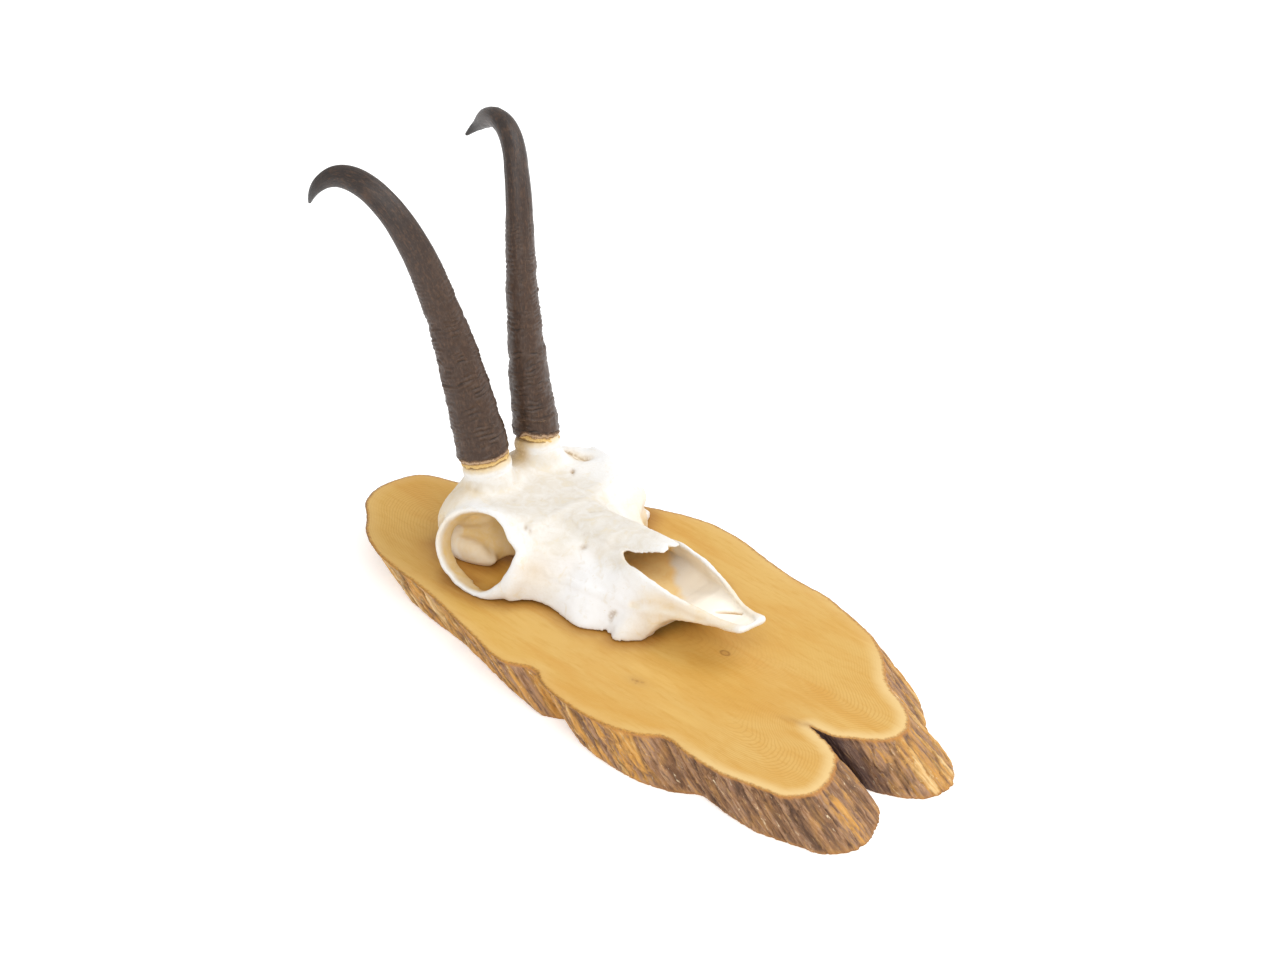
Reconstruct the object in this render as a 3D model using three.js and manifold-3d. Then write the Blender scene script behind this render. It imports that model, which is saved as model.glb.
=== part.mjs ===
// Horn trophy: a bleached skull cap with its two hooked horn sheaths, resting
// on a slab sawn at a slant from a fluted trunk, with the bark left on.
// Millimetres, +Z up, +X towards the nose, +Y towards the animal's left side.

import * as THREE from 'three';
import { NURBSCurve } from 'three/addons/curves/NURBSCurve.js';
import { mergeVertices } from 'three/addons/utils/BufferGeometryUtils.js';
import Module from 'manifold-3d';

// ---------------------------------------------------------------- dimensions

// The shapes below are measured from the point midway between the two horn
// bases; this shift puts the origin under the middle of the whole object.
const SHIFT = new THREE.Vector3(-90.66, 5.35, 57.4);

// Slab
const SLAB_TOP = -39.4; // height of the sawn face
const SLAB_THICK = 18.0;
const SLAB_LEAN = new THREE.Vector2(22.0, 2.0); // how far the trunk runs sideways over the thickness
const SLAB_OUTLINE = [
  [-51.9, -39.1], [-59.8, -31.7], [-64.1, -22.6], [-64.1, -11.8], [-60.7, -1.7],
  [-53.1, 4.0], [-44.1, 8.4], [-30.6, 18.4], [-16.1, 27.6], [-2.4, 37.4],
  [11.2, 46.4], [23.5, 52.2], [37.0, 58.7], [47.3, 62.6], [60.5, 65.6],
  [76.4, 65.5], [96.8, 62.3], [117.3, 60.0], [132.9, 60.1], [146.1, 57.9],
  [160.4, 54.5], [172.0, 51.1], [185.6, 42.7], [200.9, 30.1], [214.5, 24.3],
  [224.8, 17.8], [230.8, 9.0], [228.9, -1.6], [221.2, -8.4], [212.2, -14.4],
  [200.8, -16.1], [218.1, -20.9], [225.4, -25.5], [233.6, -37.5], [236.4, -49.6],
  [229.9, -59.6], [212.5, -64.3], [198.8, -67.3], [179.8, -67.2], [165.0, -65.8],
  [155.2, -72.9], [139.2, -77.7], [120.3, -78.3], [101.6, -75.5], [89.9, -70.2],
  [76.1, -75.9], [50.2, -70.9], [34.1, -67.3], [15.0, -63.1], [2.2, -61.4],
  [-11.6, -59.9], [-27.9, -56.3], [-42.1, -48.7],
];

// Skull
const SEAT_GAP = 0.3; // clearance between the skull's sawn underside and the slab
const FIT_GAP = 0.3; // clearance between a horn sheath and its bone
const REAR_CUT_X = -19.7; // saw cut behind the horns, at the horn-base height
const REAR_CUT_SLOPE = 0.222; // how far that cut runs forward per millimetre downwards

// Half outlines of the skull across X, each from the roof's midline round the
// side to the lower edge, as [x, [[y, z] ...]].
const SKULL_SECTIONS = [
  [-26, [[0, -27], [6, -27.3], [12, -28.5], [17, -30.5], [21, -33], [24, -36], [26, -39], [27, -42], [27, -44], [26.5, -46]]],
  [-18, [[0, -15], [6, -15.4], [10.5, -17], [14, -20], [17.5, -24.5], [21, -29], [24.5, -33.5], [27, -37.5], [28, -41], [28, -46]]],
  [-10, [[0, -10.2], [8, -9.6], [14.5, -8.6], [19, -10], [23.2, -13], [29.4, -16.8], [32.8, -22], [33.6, -29.5], [33.6, -37], [32.5, -46]]],
  [-3, [[0, -6.8], [8, -6.4], [17, -5.4], [24, -7], [30.4, -10.4], [36.6, -13.6], [40.2, -19.2], [39.4, -27], [35.4, -35.5], [33.3, -46]]],
  [2, [[0, -6.2], [8, -6], [18, -5.2], [27, -6.6], [35.5, -10.3], [41.8, -14.8], [38.5, -20.5], [30.5, -27], [33.4, -35], [32.6, -46]]],
  [7, [[0, -6.8], [9, -7], [20, -6.6], [30, -7], [38, -10], [42, -13.2], [37.5, -18], [27.5, -26], [31.8, -34.5], [31, -46]]],
  [13, [[0, -8.3], [10, -8.7], [21, -8], [30, -7], [36.5, -7.6], [38.6, -9.5], [32.5, -14.8], [24.5, -24.5], [29.2, -33.5], [28.2, -46]]],
  [19, [[0, -8.5], [10, -9], [20, -8.3], [29, -6.5], [35, -5.9], [36.7, -7.4], [27.5, -13], [17.8, -24.5], [22, -34], [20.5, -46]]],
  [26, [[0, -8.5], [10, -9], [20, -8.2], [28, -6.3], [33.8, -5.2], [35.3, -6.8], [25, -12.5], [17, -24], [15.5, -37], [15, -46]]],
  [33, [[0, -8.3], [10, -8.7], [19, -8], [27, -6.8], [33.3, -7], [35, -9], [25, -14], [17, -24], [16, -37], [15.5, -46]]],
  [39, [[0, -8], [9, -8.3], [18.5, -8], [27, -8.2], [33.5, -10], [36.4, -13], [28, -18], [20, -26], [19, -37], [19, -46]]],
  [45, [[0, -7.8], [9, -8], [18, -8], [26.5, -9.2], [33, -12.4], [37.3, -17.5], [40.3, -24], [42.8, -31], [43.5, -37.5], [42.5, -46]]],
  [51, [[0, -7.5], [8, -7.7], [17, -8], [25, -9.8], [30.5, -13.2], [33.4, -19], [35, -26], [36.8, -32.5], [37, -38], [36.5, -46]]],
  [58, [[0, -7], [8, -7.2], [15, -7.8], [21.5, -10], [25.4, -14], [27.2, -19], [28.8, -25.5], [31.6, -31], [34.2, -38], [34.2, -46]]],
  [64, [[0, -6.6], [7.5, -6.9], [13.5, -8], [17.8, -10.8], [20.6, -14.8], [22.6, -19.8], [25.6, -25], [30.2, -31], [33.8, -38], [34, -46]]],
  [72, [[0, -6], [7, -6.4], [11.5, -8.1], [14.8, -12], [18, -16], [21.8, -20], [26.3, -25.2], [31, -31.3], [34.8, -38], [35.2, -46]]],
  [78, [[0, -5.4], [6.3, -6.3], [10.3, -9.9], [13.8, -12.6], [16.9, -15.4], [20.3, -19.2], [25, -25], [30.2, -31.5], [35.6, -38.3], [36.2, -46]]],
  [82, [[0, -6.8], [6, -7.5], [10.3, -10.1], [13.5, -12.1], [16.2, -15.2], [19.5, -19], [23.8, -25], [29, -31.5], [34.5, -38.3], [35.2, -46]]],
  [85, [[0, -9], [6, -9.4], [10.5, -10.8], [13.9, -12.2], [16.6, -15.2], [19.5, -19], [23.2, -25], [27.6, -31.5], [32.6, -38.2], [33.2, -46]]],
  [89, [[0, -11.2], [5, -11.3], [10, -11.6], [14.3, -12.4], [17.2, -15.5], [19.8, -19.5], [22.6, -25], [26, -31], [30, -38], [30.4, -46]]],
  [93, [[0, -12], [5, -12], [10, -12.2], [14.5, -12.7], [17.2, -15.9], [19.5, -20], [22.2, -25.5], [25.6, -31.5], [28.8, -37.8], [29, -46]]],
  [97.5, [[0, -12.6], [5, -12.6], [10, -12.7], [14.6, -13.2], [17.1, -16.5], [19.2, -20.4], [21.8, -26], [26.3, -32], [30.8, -37.5], [31.2, -46]]],
  [101.5, [[0, -13.2], [5, -13.2], [10, -13.3], [14.6, -13.8], [16.9, -17], [18.7, -20.8], [21, -26], [25, -32], [29, -37.5], [29.4, -46]]],
  [104.5, [[0, -13.6], [5, -13.6], [10, -13.8], [14.8, -14.1], [16.6, -17.4], [18.2, -21], [20.3, -26], [22.8, -31.5], [25, -36.5], [25, -41]]],
  [107.5, [[0, -14.3], [5, -14.3], [9.8, -14.5], [14.8, -14.8], [16, -18.1], [17.4, -21.4], [19.2, -25.8], [21, -30.5], [22.3, -34.5], [22, -37.5]]],
  [110, [[0, -14.9], [4.9, -14.9], [9.7, -15], [14.6, -15.4], [15.5, -18.5], [16.8, -21.5], [18.3, -25.5], [20, -29.3], [21, -32.2], [20.6, -34.2]]],
  [113, [[0, -15.6], [4.6, -15.6], [9.2, -15.7], [14.2, -16], [14.8, -18.9], [16, -21.3], [17, -24], [17.8, -26.7], [18.2, -28.8], [17.6, -30]]],
  [118, [[0, -16.5], [4.2, -16.5], [8.4, -16.6], [13.2, -16.8], [13.9, -19.1], [14.9, -21], [15.6, -22.8], [16, -24.5], [16, -26], [15.3, -26.8]]],
  [127, [[0, -18.3], [3.4, -18.3], [6.8, -18.4], [10.7, -18.6], [11.6, -20.1], [12.4, -21.3], [12.8, -22.5], [13, -23.6], [12.8, -24.6], [12.1, -25.3]]],
  [132, [[0, -19.3], [2.8, -19.3], [5.6, -19.3], [8.7, -19.5], [9.8, -20.7], [10.6, -21.8], [11, -22.8], [11.1, -23.7], [10.8, -24.5], [10, -25.1]]],
  [137, [[0, -20], [2.1, -20], [4.2, -20], [6.3, -20.1], [7.9, -20.6], [8.9, -21.4], [9.4, -22.3], [9.5, -23.1], [9.2, -23.8], [8.4, -24.3]]],
  [142, [[0, -20.2], [1.8, -20.2], [3.6, -20.2], [5.5, -20.3], [7.1, -20.8], [8.2, -21.4], [8.7, -22.1], [8.8, -22.7], [8.5, -23.3], [7.7, -23.7]]],
  [147, [[0, -19.7], [1.6, -19.7], [3.2, -19.7], [4.9, -19.8], [6.5, -20.1], [7.7, -20.6], [8.3, -21.2], [8.4, -21.8], [8.1, -22.3], [7.3, -22.7]]],
  [149.6, [[0, -19.1], [1.5, -19.1], [3, -19.1], [4.6, -19.2], [6.1, -19.4], [7.2, -19.9], [7.9, -20.5], [8, -21.1], [7.6, -21.7], [6.9, -22]]],
  [150.8, [[0, -19.6], [1.2, -19.6], [2.4, -19.6], [3.6, -19.7], [4.7, -19.8], [5.7, -20.1], [6.3, -20.6], [6.4, -21], [6.1, -21.4], [5.5, -21.6]]],
];

// The hollow inside the skull: [x, roof z, roof half width, mid half width, mid z, low half width, low z].
const HOLLOW_SECTIONS = [
  [-34, -35, 5, 13, -41, 21, -52],
  [-26, -30, 6, 15, -37, 23, -50],
  [-18, -19, 8, 15.5, -29, 25, -50],
  [-10, -13.8, 11, 25, -21.5, 28.5, -50],
  [-3, -11.5, 13, 27, -20.5, 29, -50],
  [2, -11, 13.5, 26.3, -22, 28.5, -50],
  [7, -12, 13, 23.5, -23.5, 27, -50],
  [13, -14.5, 12, 20.8, -24, 24.5, -50],
  [19, -16, 10, 15.5, -26, 16.5, -50],
  [26, -16, 9, 12, -25, 12, -50],
  [33, -15.5, 9, 12, -25, 12.5, -50],
  [39, -14.5, 10, 15, -26, 15.5, -50],
  [46, -13, 13, 27, -18, 34, -50],
  [51, -12.5, 14, 26, -17, 31.5, -50],
  [58, -12, 12, 22.5, -17, 29, -50],
  [68, -11, 9, 18, -17, 27.5, -50],
  [80, -10, 6, 14, -17, 26.5, -50],
  [90, -15, 11, 16.5, -19, 26.5, -50],
  [100, -16, 11.5, 16, -21, 25, -50],
  [106, -17.5, 11, 15.5, -22, 22.5, -46],
  [110, -18.5, 10.5, 14.5, -22, 17, -33],
  [113, -19, 10, 13.3, -22, 14.5, -27.8],
  [118, -19.6, 9, 12, -21.5, 12.7, -24.6],
  [127, -20.6, 7.5, 9.5, -21.6, 9.8, -23.1],
  [133, -21, 6, 7.8, -21.6, 7.9, -22.3],
];

// The nose opening cut down into that hollow: [x, half width, floor z].
const NOSE_OPENING = [
  [79.5, 8.5, -15], [84, 11.4, -16], [88, 12.8, -17], [99, 13.2, -18], [107, 12.9, -19.5],
  [113, 12.1, -20.2], [120, 10.7, -21], [128, 8.6, -22], [134, 7, -22.6], [140, 5.6, -22.4], [145, 4.6, -21.6],
  [149, 3.2, -20.6],
];
const NOSE_OPENING_TOP = 6;

// The pair of nasal bones that overhang the opening: [x, half width, ridge z, drop at the edge, thickness].
const NASAL_BONES = [
  [72, 9.8, -5.8, 2.7, 2.2], [80, 9.6, -4.9, 4.4, 2.2], [88, 8.7, -4.2, 4.1, 2],
  [94, 6.8, -3.9, 2.6, 1.8], [98, 5.4, -3.8, 1.3, 1.6], [102, 4.6, -3.9, 0.6, 1.3],
];

// Eye sockets: a bony ring whose axis looks outwards, a little forwards and upwards.
const SOCKET_CENTRE = new THREE.Vector3(25.75, -43.45, -21.75);
const SOCKET_FORWARD_DEG = 11.18;
const SOCKET_UP_DEG = 25.92;
const SOCKET_RING = [ // [radius, distance out along the axis], closed
  [17.9, -0.7], [18.5, 0], [19.5, -0.1], [20, -1], [20.2, -3], [20.3, -5.6], [19.7, -9.4], [17.6, -10], [17, -6], [17.5, -3],
];
const SOCKET_BORE = [[0, 9], [18.5, 9], [17.7, 0], [17.1, -4], [16.8, -8], [14.5, -14], [0, -14]];
const SOCKET_SIDES = 40;
// The ring's crest is not round: [degrees from the back, upwards, radius], where the ring above has 20.
const SOCKET_CREST = [
  [-187, 20.9], [-176.5, 20.3], [-165, 19.4], [-154.9, 19.08], [-135.8, 19.75], [-120.5, 20.63], [-108.9, 20.67], [-95.5, 19.95],
  [-77, 18.71], [-51.2, 18.8], [-27.1, 20.9], [-10.8, 23], [5.7, 23.1], [18.9, 22.8], [33.1, 21.9],
  [49.8, 20.2], [65.7, 18.95], [84.1, 18.32], [103.3, 18.62], [121.8, 17.93], [140, 17.7], [149, 18], [153, 20.6],
  [158, 22.2], [164, 21.9], [173, 20.9], [183.5, 20.3],
];

// The palate, which floors the nose: [x, height on the midline]; it rises a little towards its sides.
const PALATE = [[56, -33], [70, -31.5], [100, -30.5], [106, -29.6], [110, -28.3], [118, -25], [127, -23.4], [140, -22]];
const PALATE_THICK = 1.8;
const PALATE_RISE = 0.01; // rise per square of the distance from the midline
// The wall between brain and nose.
const BRAIN_WALL_X = 40;
const BRAIN_WALL_THICK = 2.2;


// Horns (the animal's right one; the left is its mirror image)
const HORN_BASE = new THREE.Vector3(0.3, -15, -0.1);
const HORN_CURVE = [
  [-1.61, -15.57, 7.67], [-11.33, -18.24, 45.78], [-18.96, -23.71, 78], [-26.37, -30.22, 103.14],
  [-35.11, -36.27, 119.81], [-46.19, -39.93, 127.68], [-57.72, -42.04, 128.72], [-66.03, -45.88, 125.29],
  [-71.23, -48.46, 117.92], [-76.55, -45.65, 108.79],
];
const HORN_BROAD_FACING = new THREE.Vector3(0.62, -0.587, 0.52); // the broad side of the section is square to this
const HORN_HALF_WIDTHS = [ // [distance along the horn from its base, broad half width, narrow half width]
  [0, 11.7, 10.6], [8, 11.4, 10.2], [26, 10.5, 9], [44, 9.7, 7.9], [68, 8.2, 6.8], [84, 7.55, 6.3], [96, 7.3, 6.05],
  [107, 6.9, 5.7], [115, 6.6, 5.4], [122, 6.3, 5.2], [128, 6.1, 5.05], [138, 5.75, 4.9], [146, 5.5, 4.75],
  [150, 5.3, 4.5], [154, 5, 4.2], [157, 4.65, 3.9], [160, 4.25, 3.6], [163, 3.75, 3.25], [167, 3.15, 2.9],
  [170, 2.6, 2.5], [175, 1.75, 1.85], [182.4, 0.6, 0.6],
];
const HORN_SIDES = 16;
const HORN_STEPS = 38;

// Bone that carries a horn: a flared pedicle, a shoulder under the sheath and a core inside it,
// as [radius, distance along the horn's base direction].
const PEDICLE = [[0, -16], [13.2, -16], [11.8, -9], [10.8, -3.5], [10.5, -FIT_GAP], [8.2, -FIT_GAP], [7.6, 12], [5.8, 34], [3.2, 56], [0, 60]];
const SHEATH_SOCKET = [[0, -6], [8.6, -6], [8.55, 0], [7.95, 12], [6.15, 34], [3.55, 56.3], [0, 61]];
const PEDICLE_FLAT = 0.92; // narrow half width over broad half width

// ------------------------------------------------------------------- helpers

const wasm = await Module();
wasm.setup();

// Moves every vertex of a unit cylinder to place(u, v, r): u round it, v along it, r from the axis outwards.
function shapeCylinder(sides, steps, place) {
  const geometry = new THREE.CylinderGeometry(1, 1, 1, sides, steps);
  const p = geometry.attributes.position;
  for (let i = 0; i < p.count; i++) {
    const x = p.getX(i), z = p.getZ(i);
    const r = Math.min(1, Math.round(Math.hypot(x, z) * 1e4) / 1e4);
    let u = Math.atan2(x, z) / (2 * Math.PI);
    u = ((Math.round(u * sides) % sides) + sides) % sides;
    const v = Math.round((p.getY(i) + 0.5) * steps);
    const q = place(u, v, r);
    p.setXYZ(i, q.x, q.y, q.z);
  }
  return geometry;
}

function signedVolume(positions, index) {
  let volume = 0;
  const at = (i) => new THREE.Vector3(positions[3 * i], positions[3 * i + 1], positions[3 * i + 2]);
  for (let t = 0; t < index.length; t += 3) {
    volume += at(index[t]).dot(at(index[t + 1]).cross(at(index[t + 2]))) / 6;
  }
  return volume;
}

// A closed geometry as a solid whose faces point outwards.
function toSolid(geometry) {
  let g = geometry.clone();
  g.deleteAttribute('normal');
  g.deleteAttribute('uv');
  g = mergeVertices(g, 1e-4);
  const positions = new Float32Array(g.attributes.position.array);
  let triangles = [];
  const index = g.index.array;
  for (let t = 0; t < index.length; t += 3) {
    const [a, b, c] = [index[t], index[t + 1], index[t + 2]];
    if (a !== b && b !== c && a !== c) triangles.push(a, b, c);
  }
  if (signedVolume(positions, triangles) < 0) {
    for (let t = 0; t < triangles.length; t += 3) {
      const k = triangles[t + 1];
      triangles[t + 1] = triangles[t + 2];
      triangles[t + 2] = k;
    }
  }
  return new wasm.Manifold(new wasm.Mesh({ numProp: 3, vertProperties: positions, triVerts: new Uint32Array(triangles) }));
}

function toGeometry(solid) {
  const mesh = solid.getMesh();
  const geometry = new THREE.BufferGeometry();
  const positions = new Float32Array(mesh.numVert * 3);
  for (let i = 0; i < mesh.numVert; i++) {
    for (let k = 0; k < 3; k++) positions[3 * i + k] = mesh.vertProperties[mesh.numProp * i + k];
  }
  geometry.setAttribute('position', new THREE.BufferAttribute(positions, 3));
  geometry.setIndex(new THREE.BufferAttribute(new Uint32Array(mesh.triVerts), 1));
  geometry.computeVertexNormals();
  return geometry;
}

const mirrored = (geometry) => geometry.clone().applyMatrix4(new THREE.Matrix4().makeScale(1, -1, 1));

function tableAt(table, x) {
  if (x <= table[0][0]) return table[0].slice(1);
  for (let i = 1; i < table.length; i++) {
    if (x <= table[i][0]) {
      const t = (x - table[i - 1][0]) / (table[i][0] - table[i - 1][0]);
      return table[i].slice(1).map((value, k) => THREE.MathUtils.lerp(table[i - 1][k + 1], value, t));
    }
  }
  return table[table.length - 1].slice(1);
}

// ---------------------------------------------------------------------- slab

function makeSlab() {
  const shape = new THREE.Shape(SLAB_OUTLINE.map(([x, y]) => new THREE.Vector2(x, y)));
  const geometry = new THREE.ExtrudeGeometry(shape, { depth: SLAB_THICK, bevelEnabled: false, steps: 1 });
  // The prism leans along the trunk: its lower face sits further forward than its sawn top.
  const lean = new THREE.Matrix4().set(
    1, 0, -SLAB_LEAN.x / SLAB_THICK, SLAB_LEAN.x,
    0, 1, -SLAB_LEAN.y / SLAB_THICK, SLAB_LEAN.y,
    0, 0, 1, SLAB_TOP - SLAB_THICK,
    0, 0, 0, 1,
  );
  return toGeometry(toSolid(geometry.applyMatrix4(lean)));
}

// --------------------------------------------------------------------- skull

// A smooth ring round one section: up the left side, over the roof, down the right side.
function sectionRing(half, count) {
  const curve = new THREE.CatmullRomCurve3(half.map(([y, z]) => new THREE.Vector3(0, y, z)), false, 'centripetal');
  const points = [];
  for (let i = 0; i <= count; i++) points.push(curve.getPoint(i / count));
  const left = points.slice().reverse();
  const right = points.slice(1).map((p) => new THREE.Vector3(0, -p.y, p.z));
  return left.concat(right);
}

function loftRings(rings, xs) {
  const centres = rings.map((ring) => ring.reduce((sum, p) => sum.add(p), new THREE.Vector3()).divideScalar(ring.length));
  return shapeCylinder(rings[0].length, rings.length - 1, (u, v, r) => {
    const p = centres[v].clone().lerp(rings[v][u], r);
    return new THREE.Vector3(xs[v], p.y, p.z);
  });
}

function makeSkullBody() {
  const halfCount = 12;
  const xs = [], rings = [];
  for (let i = 0; i < SKULL_SECTIONS.length; i++) {
    xs.push(SKULL_SECTIONS[i][0]);
    rings.push(sectionRing(SKULL_SECTIONS[i][1], halfCount));
  }
  return toSolid(loftRings(rings, xs));
}

function makeHollow() {
  const rings = HOLLOW_SECTIONS.map(([, zTop, wTop, wMid, zMid, wLow, zLow]) => sectionRing(
    [[0, zTop], [wTop, zTop - 0.6], [0.55 * wTop + 0.45 * wMid, 0.7 * zTop + 0.3 * zMid], [wMid, zMid], [0.4 * wMid + 0.6 * wLow, 0.6 * zMid + 0.4 * zLow], [wLow, zLow]], 6));
  return toSolid(loftRings(rings, HOLLOW_SECTIONS.map((s) => s[0])));
}

function makeNoseOpening() {
  const rings = NOSE_OPENING.map(([, w, floor]) => {
    const half = [[0, NOSE_OPENING_TOP], [w, NOSE_OPENING_TOP], [w, floor + 1.5], [0.8 * w, floor]];
    const left = half.slice().reverse(), right = half.slice(1).map(([y, z]) => [-y, z]);
    return left.concat(right).map(([y, z]) => new THREE.Vector3(0, y, z));
  });
  return toSolid(loftRings(rings, NOSE_OPENING.map((s) => s[0])));
}

function makeNasalBones() {
  const across = 8;
  const rings = NASAL_BONES.map(([, w, ridge, drop, thick]) => {
    const top = [], under = [];
    for (let i = 0; i <= across; i++) {
      const f = 1 - (2 * i) / across; // +1 on the left edge, -1 on the right
      const z = ridge - drop * f * f;
      top.push(new THREE.Vector3(0, f * w, z));
      under.unshift(new THREE.Vector3(0, f * (w - 0.4), z - thick));
    }
    return top.concat(under);
  });
  return toSolid(loftRings(rings, NASAL_BONES.map((s) => s[0])));
}

function socketBasis() {
  const a = THREE.MathUtils.degToRad(SOCKET_FORWARD_DEG), b = THREE.MathUtils.degToRad(SOCKET_UP_DEG);
  const n = new THREE.Vector3(Math.sin(a) * Math.cos(b), -Math.cos(a) * Math.cos(b), Math.sin(b));
  const u = n.clone().cross(new THREE.Vector3(0, 0, 1)).normalize();
  const w = u.clone().cross(n);
  return new THREE.Matrix4().makeBasis(u, n, w).setPosition(SOCKET_CENTRE);
}

// Gives a lathed socket shape the crest's uneven outline.
function followCrest(geometry) {
  const p = geometry.attributes.position;
  for (let i = 0; i < p.count; i++) {
    const [radius] = tableAt(SOCKET_CREST, THREE.MathUtils.radToDeg(Math.atan2(p.getZ(i), p.getX(i))));
    p.setXYZ(i, (p.getX(i) * radius) / 20, p.getY(i), (p.getZ(i) * radius) / 20);
  }
  return geometry;
}

// Everything under the palate's upper face, lowered by drop and run on past both ends.
function underPalate(drop, past) {
  const across = 12, half = 40, last = PALATE.length - 1;
  const rings = PALATE.map(([, z]) => {
    const ring = [];
    for (let i = 0; i <= across; i++) {
      const y = half * (1 - (2 * i) / across);
      ring.push(new THREE.Vector3(0, y, z + PALATE_RISE * y * y + PALATE_THICK / 2 - drop));
    }
    return ring.concat([new THREE.Vector3(0, -half, -140), new THREE.Vector3(0, half, -140)]);
  });
  return toSolid(loftRings(rings, PALATE.map(([x], i) => x + (i === 0 ? -past : 0) + (i === last ? past : 0))));
}

function makePalate() {
  return underPalate(0, 0).subtract(underPalate(PALATE_THICK, 1));
}

function lathe(profile, sides) {
  return new THREE.LatheGeometry(profile.map(([r, h]) => new THREE.Vector2(r, h)), sides);
}

function hornFrame() {
  const along = new THREE.Vector3(...HORN_CURVE[0]).sub(HORN_BASE).normalize();
  const broad = along.clone().cross(HORN_BROAD_FACING).normalize();
  return new THREE.Matrix4().makeBasis(broad, along, broad.clone().cross(along)).setPosition(HORN_BASE);
}

function onHornBase(profile, sides) {
  return lathe(profile, sides)
    .applyMatrix4(new THREE.Matrix4().makeScale(1, 1, PEDICLE_FLAT))
    .applyMatrix4(hornFrame());
}

function makeSkull() {
  const wall = new THREE.BoxGeometry(BRAIN_WALL_THICK, 200, 160).translate(BRAIN_WALL_X, 0, -30);
  const hollow = makeHollow().subtract(toSolid(wall)).subtract(makePalate());
  let skull = makeSkullBody().subtract(hollow).subtract(makeNoseOpening()).add(makeNasalBones());
  const bore = followCrest(lathe(SOCKET_BORE, SOCKET_SIDES)).applyMatrix4(socketBasis());
  const ring = followCrest(lathe(SOCKET_RING.concat([SOCKET_RING[0]]), SOCKET_SIDES)).applyMatrix4(socketBasis());
  const pedicle = onHornBase(PEDICLE, 18);
  for (const side of [(g) => g, mirrored]) {
    skull = skull.subtract(toSolid(side(bore))).add(toSolid(side(ring))).add(toSolid(side(pedicle)));
  }
  // Sawn flat underneath, and sawn at a slant behind the horns.
  const floor = new THREE.BoxGeometry(400, 200, 60).translate(60, 0, SLAB_TOP + SEAT_GAP - 30);
  const rear = new THREE.BoxGeometry(60, 200, 200).translate(-30, 0, 0)
    .applyMatrix4(new THREE.Matrix4().makeRotationY(-Math.atan(REAR_CUT_SLOPE)))
    .translate(REAR_CUT_X, 0, 0);
  return toGeometry(skull.subtract(toSolid(floor)).subtract(toSolid(rear)).simplify(0.02));
}

// --------------------------------------------------------------------- horns

function makeHornSheath() {
  const control = HORN_CURVE.map(([x, y, z]) => new THREE.Vector4(x, y, z, 1));
  const inner = control.length - 3;
  const knots = [0, 0, 0];
  for (let i = 0; i <= inner; i++) knots.push(i / inner);
  knots.push(1, 1, 1);
  const spline = new NURBSCurve(3, knots, control);
  const trace = [HORN_BASE.clone()];
  for (let i = 0; i <= 240; i++) {
    const p = spline.getPoint(Math.min(i / 240, 0.999999));
    trace.push(new THREE.Vector3(p.x, p.y, p.z));
  }
  const axis = new THREE.CurvePath();
  for (let i = 1; i < trace.length; i++) axis.add(new THREE.LineCurve3(trace[i - 1], trace[i]));
  const total = axis.getLength();
  // Rings stand closer together round the hook.
  const stations = [];
  for (let i = 0; i <= HORN_STEPS; i++) {
    const t = i / HORN_STEPS;
    stations.push(total * (1.45 * t - 0.45 * t * t));
  }
  const rings = stations.map((s) => {
    const at = (d) => axis.getPointAt(THREE.MathUtils.clamp(d / total, 0, 1));
    const centre = at(s);
    const along = at(s + 1.5).sub(at(s - 1.5)).normalize();
    const broad = along.clone().cross(HORN_BROAD_FACING).normalize();
    const narrow = broad.clone().cross(along);
    const [a, b] = tableAt(HORN_HALF_WIDTHS, s * HORN_HALF_WIDTHS[HORN_HALF_WIDTHS.length - 1][0] / total);
    return { centre, broad, narrow, a, b };
  });
  const outside = shapeCylinder(HORN_SIDES, HORN_STEPS, (u, v, r) => {
    const { centre, broad, narrow, a, b } = rings[v];
    const angle = (2 * Math.PI * u) / HORN_SIDES;
    return centre.clone().addScaledVector(broad, r * a * Math.sin(angle)).addScaledVector(narrow, r * b * Math.cos(angle));
  });
  return { outside, socket: onHornBase(SHEATH_SOCKET, 18) };
}

// ------------------------------------------------------------------ assembly

const trophy = new THREE.Group();

function addPiece(name, geometry, colour, roughness) {
  const mesh = new THREE.Mesh(geometry, new THREE.MeshStandardMaterial({ color: colour, roughness, metalness: 0 }));
  mesh.name = name;
  mesh.position.copy(SHIFT);
  trophy.add(mesh);
}

const sheath = makeHornSheath();
addPiece('wood_slab', makeSlab(), 0xc9994f, 0.5);
addPiece('skull', makeSkull(), 0xe9e2d2, 0.65);
addPiece('horn_sheath_right', toGeometry(toSolid(sheath.outside).subtract(toSolid(sheath.socket))), 0x2f2823, 0.45);
addPiece('horn_sheath_left', toGeometry(toSolid(mirrored(sheath.outside)).subtract(toSolid(mirrored(sheath.socket)))), 0x2f2823, 0.45);

export default trophy;
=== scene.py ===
import math

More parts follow.
